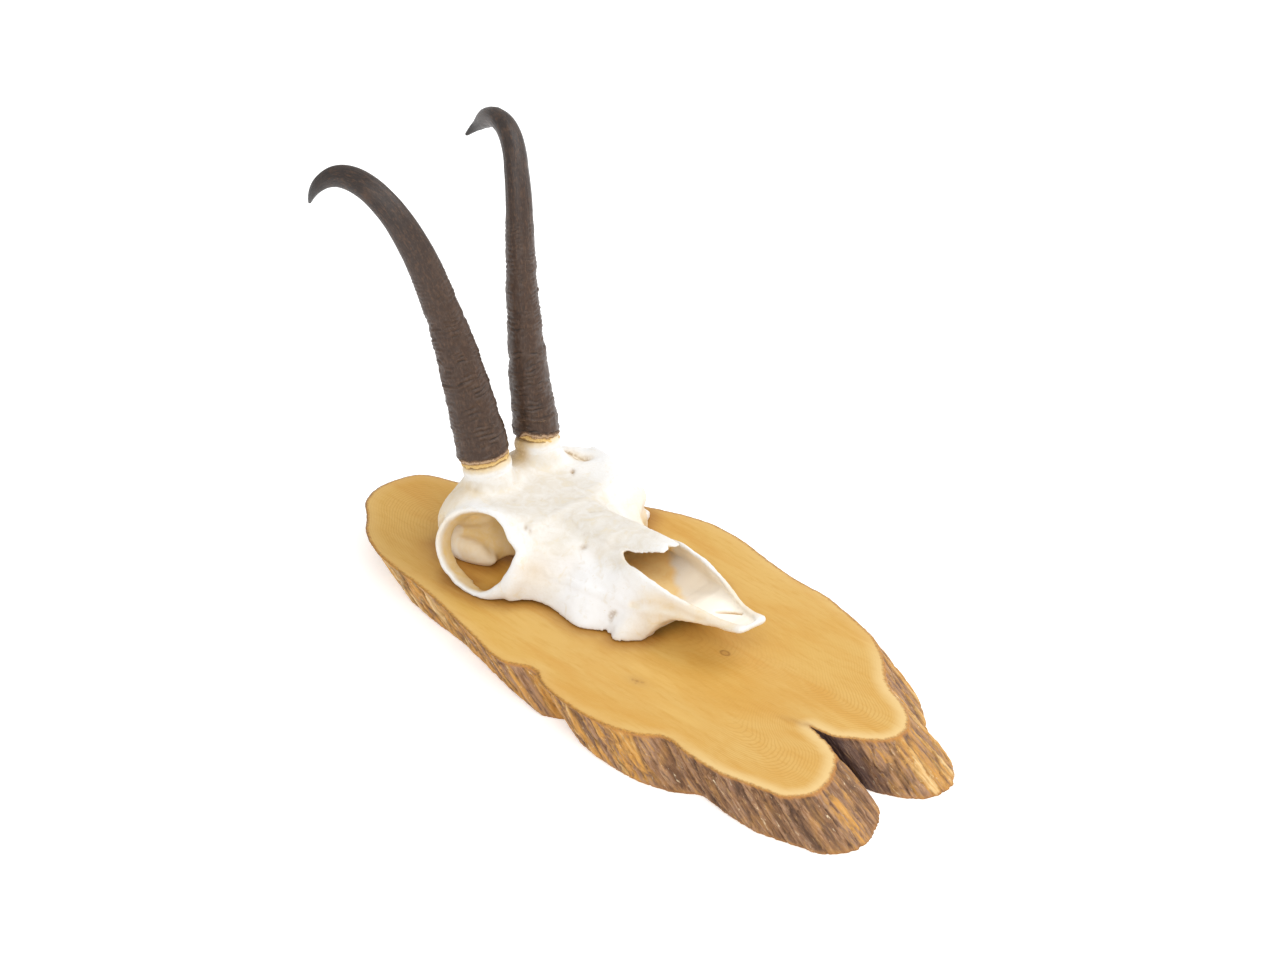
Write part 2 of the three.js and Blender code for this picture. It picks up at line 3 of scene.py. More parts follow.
import bpy
import numpy as np
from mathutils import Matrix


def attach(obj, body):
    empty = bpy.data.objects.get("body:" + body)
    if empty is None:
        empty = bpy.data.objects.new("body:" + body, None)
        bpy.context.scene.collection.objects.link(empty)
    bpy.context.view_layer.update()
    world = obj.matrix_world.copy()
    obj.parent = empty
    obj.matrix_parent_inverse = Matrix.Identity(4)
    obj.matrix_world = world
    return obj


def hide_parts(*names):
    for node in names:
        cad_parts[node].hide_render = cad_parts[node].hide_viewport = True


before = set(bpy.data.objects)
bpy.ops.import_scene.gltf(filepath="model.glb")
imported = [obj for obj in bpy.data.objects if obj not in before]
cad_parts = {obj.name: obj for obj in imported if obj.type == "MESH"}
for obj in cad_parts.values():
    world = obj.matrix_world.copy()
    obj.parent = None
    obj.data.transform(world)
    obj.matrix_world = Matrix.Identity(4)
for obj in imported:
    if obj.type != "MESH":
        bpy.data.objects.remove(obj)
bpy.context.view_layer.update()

import openvdb as vdb
from mathutils import Matrix, Vector
from mathutils.geometry import delaunay_2d_cdt

# Shapes are worked out in millimetres from the point midway between the two
# horn bases (+X to the nose, +Y to the animal's left, +Z up); SHIFT takes them
# to the shared frame.
SHIFT = np.array([-90.66, 5.35, 57.4])

# ------------------------------------------------------------------ dimensions

SLAB_TOP = -39.4
SLAB_THICK = 18.0
SLAB_LEAN = np.array([22.0, 2.0])
SLAB_OUTLINE = np.array([
    [-51.9, -39.1], [-59.8, -31.7], [-64.1, -22.6], [-64.1, -11.8], [-60.7, -1.7],
    [-53.1, 4.0], [-44.1, 8.4], [-30.6, 18.4], [-16.1, 27.6], [-2.4, 37.4],
    [11.2, 46.4], [23.5, 52.2], [37.0, 58.7], [47.3, 62.6], [60.5, 65.6],
    [76.4, 65.5], [96.8, 62.3], [117.3, 60.0], [132.9, 60.1], [146.1, 57.9],
    [160.4, 54.5], [172.0, 51.1], [185.6, 42.7], [200.9, 30.1], [214.5, 24.3],
    [224.8, 17.8], [230.8, 9.0], [228.9, -1.6], [221.2, -8.4], [212.2, -14.4],
    [200.8, -16.1], [218.1, -20.9], [225.4, -25.5], [233.6, -37.5], [236.4, -49.6],
    [229.9, -59.6], [212.5, -64.3], [198.8, -67.3], [179.8, -67.2], [165.0, -65.8],
    [155.2, -72.9], [139.2, -77.7], [120.3, -78.3], [101.6, -75.5], [89.9, -70.2],
    [76.1, -75.9], [50.2, -70.9], [34.1, -67.3], [15.0, -63.1], [2.2, -61.4],
    [-11.6, -59.9], [-27.9, -56.3], [-42.1, -48.7],
])
NOTCH = 30  # the outline point at the bottom of the cleft between the two front lobes

SKULL_SECTIONS = [
    [-26, [[0, -27], [6, -27.3], [12, -28.5], [17, -30.5], [21, -33], [24, -36], [26, -39], [27, -42], [27, -44], [26.5, -46]]],
    [-18, [[0, -15], [6, -15.4], [10.5, -17], [14, -20], [17.5, -24.5], [21, -29], [24.5, -33.5], [27, -37.5], [28, -41], [28, -46]]],
    [-10, [[0, -10.2], [8, -9.6], [14.5, -8.6], [19, -10], [23.2, -13], [29.4, -16.8], [32.8, -22], [33.6, -29.5], [33.6, -37], [32.5, -46]]],
    [-3, [[0, -6.8], [8, -6.4], [17, -5.4], [24, -7], [30.4, -10.4], [36.6, -13.6], [40.2, -19.2], [39.4, -27], [35.4, -35.5], [33.3, -46]]],
    [2, [[0, -6.2], [8, -6], [18, -5.2], [27, -6.6], [35.5, -10.3], [41.8, -14.8], [38.5, -20.5], [30.5, -27], [33.4, -35], [32.6, -46]]],
    [7, [[0, -6.8], [9, -7], [20, -6.6], [30, -7], [38, -10], [42, -13.2], [37.5, -18], [27.5, -26], [31.8, -34.5], [31, -46]]],
    [13, [[0, -8.3], [10, -8.7], [21, -8], [30, -7], [36.5, -7.6], [38.6, -9.5], [32.5, -14.8], [24.5, -24.5], [29.2, -33.5], [28.2, -46]]],
    [19, [[0, -8.5], [10, -9], [20, -8.3], [29, -6.5], [35, -5.9], [36.7, -7.4], [27.5, -13], [17.8, -24.5], [22, -34], [20.5, -46]]],
    [26, [[0, -8.5], [10, -9], [20, -8.2], [28, -6.3], [33.8, -5.2], [35.3, -6.8], [25, -12.5], [17, -24], [15.5, -37], [15, -46]]],
    [33, [[0, -8.3], [10, -8.7], [19, -8], [27, -6.8], [33.3, -7], [35, -9], [25, -14], [17, -24], [16, -37], [15.5, -46]]],
    [39, [[0, -8], [9, -8.3], [18.5, -8], [27, -8.2], [33.5, -10], [36.4, -13], [28, -18], [20, -26], [19, -37], [19, -46]]],
    [45, [[0, -7.8], [9, -8], [18, -8], [26.5, -9.2], [33, -12.4], [37.3, -17.5], [40.3, -24], [42.8, -31], [43.5, -37.5], [42.5, -46]]],
    [51, [[0, -7.5], [8, -7.7], [17, -8], [25, -9.8], [30.5, -13.2], [33.4, -19], [35, -26], [36.8, -32.5], [37, -38], [36.5, -46]]],
    [58, [[0, -7], [8, -7.2], [15, -7.8], [21.5, -10], [25.4, -14], [27.2, -19], [28.8, -25.5], [31.6, -31], [34.2, -38], [34.2, -46]]],
    [64, [[0, -6.6], [7.5, -6.9], [13.5, -8], [17.8, -10.8], [20.6, -14.8], [22.6, -19.8], [25.6, -25], [30.2, -31], [33.8, -38], [34, -46]]],
    [72, [[0, -6], [7, -6.4], [11.5, -8.1], [14.8, -12], [18, -16], [21.8, -20], [26.3, -25.2], [31, -31.3], [34.8, -38], [35.2, -46]]],
    [78, [[0, -5.4], [6.3, -6.3], [10.3, -9.9], [13.8, -12.6], [16.9, -15.4], [20.3, -19.2], [25, -25], [30.2, -31.5], [35.6, -38.3], [36.2, -46]]],
    [82, [[0, -6.8], [6, -7.5], [10.3, -10.1], [13.5, -12.1], [16.2, -15.2], [19.5, -19], [23.8, -25], [29, -31.5], [34.5, -38.3], [35.2, -46]]],
    [85, [[0, -9], [6, -9.4], [10.5, -10.8], [13.9, -12.2], [16.6, -15.2], [19.5, -19], [23.2, -25], [27.6, -31.5], [32.6, -38.2], [33.2, -46]]],
    [89, [[0, -11.2], [5, -11.3], [10, -11.6], [14.3, -12.4], [17.2, -15.5], [19.8, -19.5], [22.6, -25], [26, -31], [30, -38], [30.4, -46]]],
    [93, [[0, -12], [5, -12], [10, -12.2], [14.5, -12.7], [17.2, -15.9], [19.5, -20], [22.2, -25.5], [25.6, -31.5], [28.8, -37.8], [29, -46]]],
    [97.5, [[0, -12.6], [5, -12.6], [10, -12.7], [14.6, -13.2], [17.1, -16.5], [19.2, -20.4], [21.8, -26], [26.3, -32], [30.8, -37.5], [31.2, -46]]],
    [101.5, [[0, -13.2], [5, -13.2], [10, -13.3], [14.6, -13.8], [16.9, -17], [18.7, -20.8], [21, -26], [25, -32], [29, -37.5], [29.4, -46]]],
    [104.5, [[0, -13.6], [5, -13.6], [10, -13.8], [14.8, -14.1], [16.6, -17.4], [18.2, -21], [20.3, -26], [22.8, -31.5], [25, -36.5], [25, -41]]],
    [107.5, [[0, -14.3], [5, -14.3], [9.8, -14.5], [14.8, -14.8], [16, -18.1], [17.4, -21.4], [19.2, -25.8], [21, -30.5], [22.3, -34.5], [22, -37.5]]],
    [110, [[0, -14.9], [4.9, -14.9], [9.7, -15], [14.6, -15.4], [15.5, -18.5], [16.8, -21.5], [18.3, -25.5], [20, -29.3], [21, -32.2], [20.6, -34.2]]],
    [113, [[0, -15.6], [4.6, -15.6], [9.2, -15.7], [14.2, -16], [14.8, -18.9], [16, -21.3], [17, -24], [17.8, -26.7], [18.2, -28.8], [17.6, -30]]],
    [118, [[0, -16.5], [4.2, -16.5], [8.4, -16.6], [13.2, -16.8], [13.9, -19.1], [14.9, -21], [15.6, -22.8], [16, -24.5], [16, -26], [15.3, -26.8]]],
    [127, [[0, -18.3], [3.4, -18.3], [6.8, -18.4], [10.7, -18.6], [11.6, -20.1], [12.4, -21.3], [12.8, -22.5], [13, -23.6], [12.8, -24.6], [12.1, -25.3]]],
    [132, [[0, -19.3], [2.8, -19.3], [5.6, -19.3], [8.7, -19.5], [9.8, -20.7], [10.6, -21.8], [11, -22.8], [11.1, -23.7], [10.8, -24.5], [10, -25.1]]],
    [137, [[0, -20], [2.1, -20], [4.2, -20], [6.3, -20.1], [7.9, -20.6], [8.9, -21.4], [9.4, -22.3], [9.5, -23.1], [9.2, -23.8], [8.4, -24.3]]],
    [142, [[0, -20.2], [1.8, -20.2], [3.6, -20.2], [5.5, -20.3], [7.1, -20.8], [8.2, -21.4], [8.7, -22.1], [8.8, -22.7], [8.5, -23.3], [7.7, -23.7]]],
    [147, [[0, -19.7], [1.6, -19.7], [3.2, -19.7], [4.9, -19.8], [6.5, -20.1], [7.7, -20.6], [8.3, -21.2], [8.4, -21.8], [8.1, -22.3], [7.3, -22.7]]],
    [149.6, [[0, -19.1], [1.5, -19.1], [3, -19.1], [4.6, -19.2], [6.1, -19.4], [7.2, -19.9], [7.9, -20.5], [8, -21.1], [7.6, -21.7], [6.9, -22]]],
    [150.8, [[0, -19.6], [1.2, -19.6], [2.4, -19.6], [3.6, -19.7], [4.7, -19.8], [5.7, -20.1], [6.3, -20.6], [6.4, -21], [6.1, -21.4], [5.5, -21.6]]],
]
NOSE_OPENING = np.array([
    [79.5, 8.5, -15], [84, 11.4, -16], [88, 12.8, -17], [99, 13.2, -18], [107, 12.9, -19.5],
    [113, 12.1, -20.2], [120, 10.7, -21], [128, 8.6, -22], [134, 7, -22.6], [140, 5.6, -22.4], [145, 4.6, -21.6],
    [149, 3.2, -20.6],
])
NASAL_BONES = np.array([
    [72, 9.8, -5.8, 2.7, 2.2], [80, 9.6, -4.9, 4.4, 2.2], [88, 8.7, -4.2, 4.1, 2],
    [94, 6.8, -3.9, 2.6, 1.8], [98, 5.4, -3.8, 1.3, 1.6], [102, 4.6, -3.9, 0.6, 1.3],
])
SOCKET_CENTRE = np.array([25.75, -43.45, -21.75])
SOCKET_FORWARD = math.radians(11.18)
SOCKET_UP = math.radians(25.92)
# the rim's crest: angle in degrees from the back, upwards, and radius
SOCKET_CREST = np.array([
    [-176.5, 20.3], [-165.0, 19.4], [-154.9, 19.08], [-135.8, 19.75], [-120.5, 20.63], [-108.9, 20.67], [-95.5, 19.95],
    [-77.0, 18.71], [-51.2, 18.8], [-27.1, 20.9], [-10.8, 23.0], [5.7, 23.1], [18.9, 22.8], [33.1, 21.9],
    [49.8, 20.2], [65.7, 18.95], [84.1, 18.32], [103.3, 18.62], [121.8, 17.93], [140.0, 17.7], [149.0, 18.0], [153.0, 20.6],
    [158.0, 22.2], [164.0, 21.9], [173.0, 20.9],
])
# half the thickness of the rim's edge round the socket
SOCKET_EDGE = np.array([[-150, 1.1], [-90, 1.45], [-40, 1.15], [0, 0.95], [45, 0.8], [90, 0.75], [180, 0.85]])
# the crescent-shaped foramen of the cheek and the crease that runs down from it: x, y, z, radius
FORAMEN = [(94.0, -25.4, -29.4, 0.4), (92.0, -25.6, -29.9, 0.9), (90.9, -26.2, -31.4, 1.2), (91.6, -27.6, -33.4, 0.8), (91.2, -28.6, -36.0, 0.5), (90.4, -29.6, -40, 0.9)]
# the groove along the side of the snout: x, y, z, radius
SNOUT_GROOVE = [(99, -21.4, -25.0, 0.9), (106, -19.9, -22.6, 1.4), (113, -17.2, -21.6, 1.6), (121, -15.3, -21.4, 1.4), (127, -13.3, -21.9, 1.1), (133, -11.3, -22.4, 0.6)]
REAR_CUT_X, REAR_CUT_SLOPE = -19.7, 0.222

HORN_BASE = np.array([0.3, -15.0, -0.1])
HORN_CURVE = np.array([
    [-1.61, -15.57, 7.67], [-11.33, -18.24, 45.78], [-18.96, -23.71, 78], [-26.37, -30.22, 103.14],
    [-35.11, -36.27, 119.81], [-46.19, -39.93, 127.68], [-57.72, -42.04, 128.72], [-66.03, -45.88, 125.29],
    [-71.23, -48.46, 117.92], [-76.55, -45.65, 108.79],
])
HORN_FACING = np.array([0.62, -0.587, 0.52])
# how the left horn's hook departs from the right one's: distance along, sideways, up
HOOK_BEND = np.array([
    [114, 0, 0], [120, 0, 0], [126, 0.4, 0], [132, 0.9, 0.25], [138, 1.4, 0.75], [144, 1.75, 0.95], [150, 1.7, 0.7],
    [156, 1.0, -0.5], [162, 0.1, -1.4], [168, -0.5, -1.4], [174, -0.9, -0.6], [182, -1.1, 0.7],
])
HORN_HALF_WIDTHS = np.array([
    [0, 11.7, 10.6], [8, 11.4, 10.2], [26, 10.5, 9], [44, 9.7, 7.9], [68, 8.2, 6.8], [84, 7.55, 6.3], [96, 7.3, 6.05],
    [107, 6.9, 5.7], [115, 6.6, 5.4], [122, 6.3, 5.2], [128, 6.1, 5.05], [138, 5.75, 4.9], [146, 5.5, 4.75],
    [150, 5.3, 4.5], [154, 5, 4.2], [157, 4.65, 3.9], [160, 4.25, 3.6], [163, 3.75, 3.25], [167, 3.15, 2.9],
    [170, 2.6, 2.5], [175, 1.75, 1.85], [182.4, 0.6, 0.6],
])
PEDICLE = np.array([[0, -16], [15.5, -16], [14.3, -9], [12.2, -3.5], [11.1, -0.3], [8.2, -0.3], [7.6, 12], [5.8, 34], [3.2, 56], [0, 60]])
SHEATH_SOCKET = np.array([[8.55, 0], [7.95, 12], [6.15, 34], [3.55, 56.3], [0, 61]])
PEDICLE_FLAT = 0.92
SHEATH_LOW = 1.6  # the sheath's worn lower edge, up from the base plane

# --------------------------------------------------------------------- helpers

GRADIENTS = np.array([
    [1, 1, 0], [-1, 1, 0], [1, -1, 0], [-1, -1, 0], [1, 0, 1], [-1, 0, 1], [1, 0, -1], [-1, 0, -1],
    [0, 1, 1], [0, -1, 1], [0, 1, -1], [0, -1, -1], [1, 1, 0], [-1, 1, 0], [0, -1, 1], [0, -1, -1],
], dtype=np.float32)


def lattice(ix, iy, iz, seed):
    h = ix.astype(np.uint32) * np.uint32(374761393)
    h = h ^ (iy.astype(np.uint32) * np.uint32(668265263))
    h = h ^ (iz.astype(np.uint32) * np.uint32(2246822519))
    h = h ^ np.uint32((seed * 3266489917 + 668265263) & 0xFFFFFFFF)
    h = h ^ (h >> np.uint32(15))
    h = h * np.uint32(2246822519)
    h = h ^ (h >> np.uint32(13))
    h = h * np.uint32(3266489917)
    return h ^ (h >> np.uint32(16))


def perlin(p, seed=0):
    """Smooth noise in about -1 to 1 at points p (n, 3)."""
    p = np.asarray(p, dtype=np.float32)
    i = np.floor(p).astype(np.int64)
    f = (p - i).astype(np.float32)
    w = f * f * f * (f * (f * 6 - 15) + 10)
    out = np.zeros(len(p), dtype=np.float32)
    for dx in (0, 1):
        wx = w[:, 0] if dx else 1 - w[:, 0]
        for dy in (0, 1):
            wy = w[:, 1] if dy else 1 - w[:, 1]
            for dz in (0, 1):
                wz = w[:, 2] if dz else 1 - w[:, 2]
                g = GRADIENTS[lattice(i[:, 0] + dx, i[:, 1] + dy, i[:, 2] + dz, seed) & np.uint32(15)]
                v = g[:, 0] * (f[:, 0] - dx) + g[:, 1] * (f[:, 1] - dy) + g[:, 2] * (f[:, 2] - dz)
                out += v * wx * wy * wz
    return out


def fbm(p, octaves=3, seed=0, gain=0.5):
    total, amplitude, weight = 0, 1.0, 0.0
    q = np.asarray(p, dtype=np.float32)
    for k in range(octaves):
        total = total + amplitude * perlin(q, seed + 17 * k)
        weight += amplitude
        amplitude *= gain
        q = q * 2.03 + 11.7
    return total / weight


def line_noise(t, seed=0):
    t = np.asarray(t, dtype=np.float32)
    return perlin(np.stack([t, np.full_like(t, 0.37), np.full_like(t, 0.71)], 1), seed)


def smooth(a, b, x):
    t = np.clip((x - a) / (b - a), 0, 1)
    return t * t * (3 - 2 * t)


def pchip(x, y, q):
    """Shape-keeping cubic through (x, y) at q; y may have more columns."""
    x, y, q = np.asarray(x, float), np.asarray(y, float), np.atleast_1d(np.asarray(q, float))
    flat = y.reshape(len(x), -1)
    h = np.diff(x)[:, None]
    s = np.diff(flat, axis=0) / h
    m = np.zeros_like(flat)
    m[0], m[-1] = s[0], s[-1]
    w1, w2 = 2 * h[1:] + h[:-1], h[1:] + 2 * h[:-1]
    same = s[:-1] * s[1:] > 0
    with np.errstate(divide="ignore", invalid="ignore"):
        mean = (w1 + w2) / (w1 / s[:-1] + w2 / s[1:])
    m[1:-1] = np.where(same, mean, 0)
    k = np.clip(np.searchsorted(x, q, side="right") - 1, 0, len(x) - 2)
    qc = np.clip(q, x[0], x[-1])
    t = ((qc - x[k]) / (x[k + 1] - x[k]))[:, None]
    hk = h[k]
    out = ((2 * t**3 - 3 * t**2 + 1) * flat[k] + (t**3 - 2 * t**2 + t) * hk * m[k]
           + (-2 * t**3 + 3 * t**2) * flat[k + 1] + (t**3 - t**2) * hk * m[k + 1])
    return out.reshape((len(q),) + y.shape[1:])


def catmull(points, per, closed=False):
    """Centripetal curve through the points, per samples a segment."""
    p = np.asarray(points, float)
    if closed:
        ext = np.vstack([p[-1:], p, p[:2]])
    else:
        ext = np.vstack([2 * p[:1] - p[1:2], p, 2 * p[-1:] - p[-2:-1]])
    out = []
    for k in range(len(ext) - 3):
        a, b, c, d = ext[k:k + 4]
        t0 = 0.0
        t1 = t0 + max(np.linalg.norm(b - a), 1e-6) ** 0.5
        t2 = t1 + max(np.linalg.norm(c - b), 1e-6) ** 0.5
        t3 = t2 + max(np.linalg.norm(d - c), 1e-6) ** 0.5
        t = np.linspace(t1, t2, per, endpoint=False)[:, None]
        a1 = (t1 - t) / (t1 - t0) * a + (t - t0) / (t1 - t0) * b
        a2 = (t2 - t) / (t2 - t1) * b + (t - t1) / (t2 - t1) * c
        a3 = (t3 - t) / (t3 - t2) * c + (t - t2) / (t3 - t2) * d
        b1 = (t2 - t) / (t2 - t0) * a1 + (t - t0) / (t2 - t0) * a2
        b2 = (t3 - t) / (t3 - t1) * a2 + (t - t1) / (t3 - t1) * a3
        out.append((t2 - t) / (t2 - t1) * b1 + (t - t1) / (t2 - t1) * b2)
    if not closed:
        out.append(p[-1:])
    return np.vstack(out)


def unit(v):
    v = np.asarray(v, float)
    return v / np.linalg.norm(v)


def new_mesh(name, points_mm, faces, smooth_shading=True, materials=(), face_material=None):
    """A mesh object from points in the working frame (mm) and a list or array of faces."""
    mesh = bpy.data.meshes.new(name)
    points = (np.asarray(points_mm, float) + SHIFT) * 0.001
    if isinstance(faces, np.ndarray):
        n, sides = faces.shape
        mesh.vertices.add(len(points))
        mesh.vertices.foreach_set("co", points.astype(np.float32).ravel())
        mesh.loops.add(n * sides)
        mesh.loops.foreach_set("vertex_index", faces.astype(np.int32).ravel())
        mesh.polygons.add(n)
        mesh.polygons.foreach_set("loop_start", (np.arange(n) * sides).astype(np.int32))
    else:
        mesh.from_pydata(points.tolist(), [], faces)
    for m in materials:
        mesh.materials.append(m)
    if face_material is not None:
        mesh.polygons.foreach_set("material_index", np.asarray(face_material, np.int32))
    mesh.polygons.foreach_set("use_smooth", np.full(len(mesh.polygons), smooth_shading, dtype=bool))
    mesh.update(calc_edges=True)
    mesh.validate()
    obj = bpy.data.objects.new(name, mesh)
    bpy.context.scene.collection.objects.link(obj)
    return obj


def add_values(obj, name, values):
    layer = obj.data.attributes.new(name, "FLOAT", "POINT")
    layer.data.foreach_set("value", np.asarray(values, np.float32))


def vertex_normals(points, faces):
    """Area-weighted normals for an array of triangles or quads."""
    a, b, c = points[faces[:, 0]], points[faces[:, 1]], points[faces[:, 2]]
    n = np.cross(b - a, c - a)
    if faces.shape[1] == 4:
        d = points[faces[:, 3]]
        n = np.cross(c - a, d - b)
    out = np.zeros_like(points)
    for k in range(faces.shape[1]):
        for axis in range(3):
            out[:, axis] += np.bincount(faces[:, k], n[:, axis], len(points))
    return out / np.maximum(np.linalg.norm(out, axis=1, keepdims=True), 1e-9)


# ------------------------------------------------------------------- materials


class Nodes:
    """Small helper for building a node material."""

    def __init__(self, name):
        self.material = bpy.data.materials.new(name)
        self.material.use_nodes = True
        self.tree = self.material.node_tree
        self.tree.nodes.clear()
        self.out = self.tree.nodes.new("ShaderNodeOutputMaterial")
        self.shader = self.tree.nodes.new("ShaderNodeBsdfPrincipled")
        self.tree.links.new(self.shader.outputs[0], self.out.inputs[0])
        coords = self.tree.nodes.new("ShaderNodeTexCoord")
        scale = self.tree.nodes.new("ShaderNodeVectorMath")
        scale.operation = "SCALE"
        scale.inputs["Scale"].default_value = 1000.0
        self.tree.links.new(coords.outputs["Object"], scale.inputs[0])
        self.mm = scale.outputs[0]  # object coordinates in millimetres

    def link(self, value, socket):
        if isinstance(value, bpy.types.NodeSocket):
            self.tree.links.new(value, socket)
        elif value is not None:
            socket.default_value = value

    def attr(self, name):
        n = self.tree.nodes.new("ShaderNodeAttribute")
        n.attribute_name = name
        return n.outputs["Fac"]

    def math(self, op, a, b=None, c=None, clamp=False):
        n = self.tree.nodes.new("ShaderNodeMath")
        n.operation = op
        n.use_clamp = clamp
        for k, v in enumerate((a, b, c)):
            if v is not None:
                self.link(v, n.inputs[k])
        return n.outputs[0]

    def step(self, x, low, high, to_low=0.0, to_high=1.0):
        n = self.tree.nodes.new("ShaderNodeMapRange")
        n.interpolation_type = "SMOOTHSTEP"
        self.link(x, n.inputs["Value"])
        n.inputs["From Min"].default_value = low
        n.inputs["From Max"].default_value = high
        n.inputs["To Min"].default_value = to_low
        n.inputs["To Max"].default_value = to_high
        return n.outputs[0]

    def mapping(self, scale, rotation=(0, 0, 0), vector=None):
        n = self.tree.nodes.new("ShaderNodeMapping")
        n.vector_type = "POINT"
        self.link(vector or self.mm, n.inputs["Vector"])
        n.inputs["Rotation"].default_value = rotation
        n.inputs["Scale"].default_value = scale
        return n.outputs[0]

    def combine(self, x, y, z):
        n = self.tree.nodes.new("ShaderNodeCombineXYZ")
        for k, v in enumerate((x, y, z)):
            self.link(v, n.inputs[k])
        return n.outputs[0]

    def noise(self, vector, scale, detail=3.0, rough=0.55, distortion=0.0):
        n = self.tree.nodes.new("ShaderNodeTexNoise")
        self.link(vector, n.inputs["Vector"])
        n.inputs["Scale"].default_value = scale
        n.inputs["Detail"].default_value = detail
        n.inputs["Roughness"].default_value = rough
        n.inputs["Distortion"].default_value = distortion
        return n.outputs["Fac"]

    def voronoi(self, vector, scale, feature="F1", output="Distance"):
        n = self.tree.nodes.new("ShaderNodeTexVoronoi")
        n.feature = feature
        self.link(vector, n.inputs["Vector"])
        n.inputs["Scale"].default_value = scale
        return n.outputs[output]

    def mix(self, fac, a, b, blend="MIX"):
        n = self.tree.nodes.new("ShaderNodeMix")
        n.data_type = "RGBA"
        n.blend_type = blend
        self.link(fac, n.inputs["Factor"])
        for v, socket in ((a, n.inputs[6]), (b, n.inputs[7])):
            if isinstance(v, tuple):
                v = v + (1.0,) if len(v) == 3 else v
            self.link(v, socket)
        return n.outputs[2]

    def ramp(self, fac, stops):
        n = self.tree.nodes.new("ShaderNodeValToRGB")
        e = n.color_ramp.elements
        while len(e) > 1:
            e.remove(e[-1])
        e[0].position, e[0].color = stops[0][0], stops[0][1] + (1.0,)
        for position, colour in stops[1:]:
            k = e.new(position)
            k.color = colour + (1.0,)
        self.link(fac, n.inputs["Fac"])
        return n.outputs["Color"]

    def bump(self, height, distance, strength=1.0, normal=None):
        n = self.tree.nodes.new("ShaderNodeBump")
        n.inputs["Strength"].default_value = strength
        n.inputs["Distance"].default_value = distance
        self.link(height, n.inputs["Height"])
        if normal is not None:
            self.link(normal, n.inputs["Normal"])
        return n.outputs[0]

    def finish(self, colour, roughness, normal=None, **sockets):
        s = self.shader
        self.link(colour, s.inputs["Base Color"])
        self.link(roughness, s.inputs["Roughness"])
        if normal is not None:
            self.link(normal, s.inputs["Normal"])
        for name, value in sockets.items():
            s.inputs[name.replace("_", " ")].default_value = value
        return self.material


def srgb(r, g, b):
    """Linear colour of 8-bit display values."""
    def one(v):
        v /= 255.0
        return v / 12.92 if v <= 0.04045 else ((v + 0.055) / 1.055) ** 2.4
    return (one(r), one(g), one(b))


def bone_material():
    m = Nodes("bleached_bone")
    inner, cavity_shade, line, stain_and_shade = m.attr("inner"), m.attr("cavity_shade"), m.attr("line"), m.attr("stain_and_shade")
    broad = m.noise(m.mm, 0.055, 4, 0.6)
    mottle = m.noise(m.mm, 0.20, 4, 0.62, 0.6)
    fine = m.noise(m.mm, 1.1, 3, 0.6)
    # clean bone, with faint cream clouds, creamier on top
    base = m.mix(m.step(broad, 0.38, 0.66), (0.835, 0.832, 0.825), (0.822, 0.806, 0.775))
    base = m.mix(m.math("MULTIPLY", m.attr("cream"), m.step(mottle, 0.28, 0.72, 0.45, 1.0)), base, (0.690, 0.632, 0.540))
    base = m.mix(m.step(mottle, 0.54, 0.74, 0.0, 0.55), base, (0.760, 0.665, 0.480))
    base = m.mix(m.step(fine, 0.30, 0.62, 0.14, 0.0), base, (0.66, 0.585, 0.46))
    # painted highlight: the middle of the right cheek is whiter and faintly bluish
    base = m.mix(m.math("MULTIPLY", m.attr("cheek_highlight"), m.step(mottle, 0.5, 0.75, 0.85, 0.35)), base, (0.868, 0.868, 0.872))
    speck = m.noise(m.mapping((0.55, 0.38, 0.55), (0, 0, 0.6)), 1.0, 4, 0.72, 1.2)
    base = m.mix(m.math("MULTIPLY", m.attr("cream"), m.step(speck, 0.62, 0.72, 0.0, 0.55)), base, (0.640, 0.520, 0.335))
    # painted shade: yellow darkening in the hollows, wherever the surface is enclosed
    base = m.mix(m.math("MULTIPLY", m.step(cavity_shade, 0.28, 1.0), 0.5), base, (0.760, 0.620, 0.375))
    # real stains and dirt, together with painted shade in the sockets, under the brow and in the hollows
    base = m.mix(m.math("MULTIPLY", stain_and_shade, m.step(mottle, 0.3, 0.7, 0.78, 0.96)), base, (0.720, 0.510, 0.205))
    # inside of the hollows: pale in front, brown at the back; the brown is partly the bone's staining and partly
    # painted shade with a painted reflection of the wood
    base = m.mix(m.attr("hollow"), base, (0.930, 0.885, 0.800))
    inside = m.mix(m.step(mottle, 0.35, 0.7), (0.97, 0.72, 0.32), (0.92, 0.63, 0.24))
    base = m.mix(inner, base, inside)
    # sutures, pits and cracks
    base = m.mix(m.math("MULTIPLY", line, m.step(fine, 0.25, 0.6, 0.45, 1.0)), base, (0.36, 0.225, 0.10))
    rough = m.step(fine, 0.2, 0.8, 0.46, 0.62)
    pores = m.voronoi(m.mm, 1.35)
    height = m.math("ADD", m.math("MULTIPLY", mottle, 0.5), m.math("MULTIPLY", fine, 0.22))
    height = m.math("ADD", height, m.math("MULTIPLY", m.step(pores, 0.0, 0.22, -0.25, 0.0), m.step(broad, 0.42, 0.62)))
    normal = m.bump(height, 0.00018, 0.6)
    return m.finish(base, rough, normal, Specular_IOR_Level=0.38)


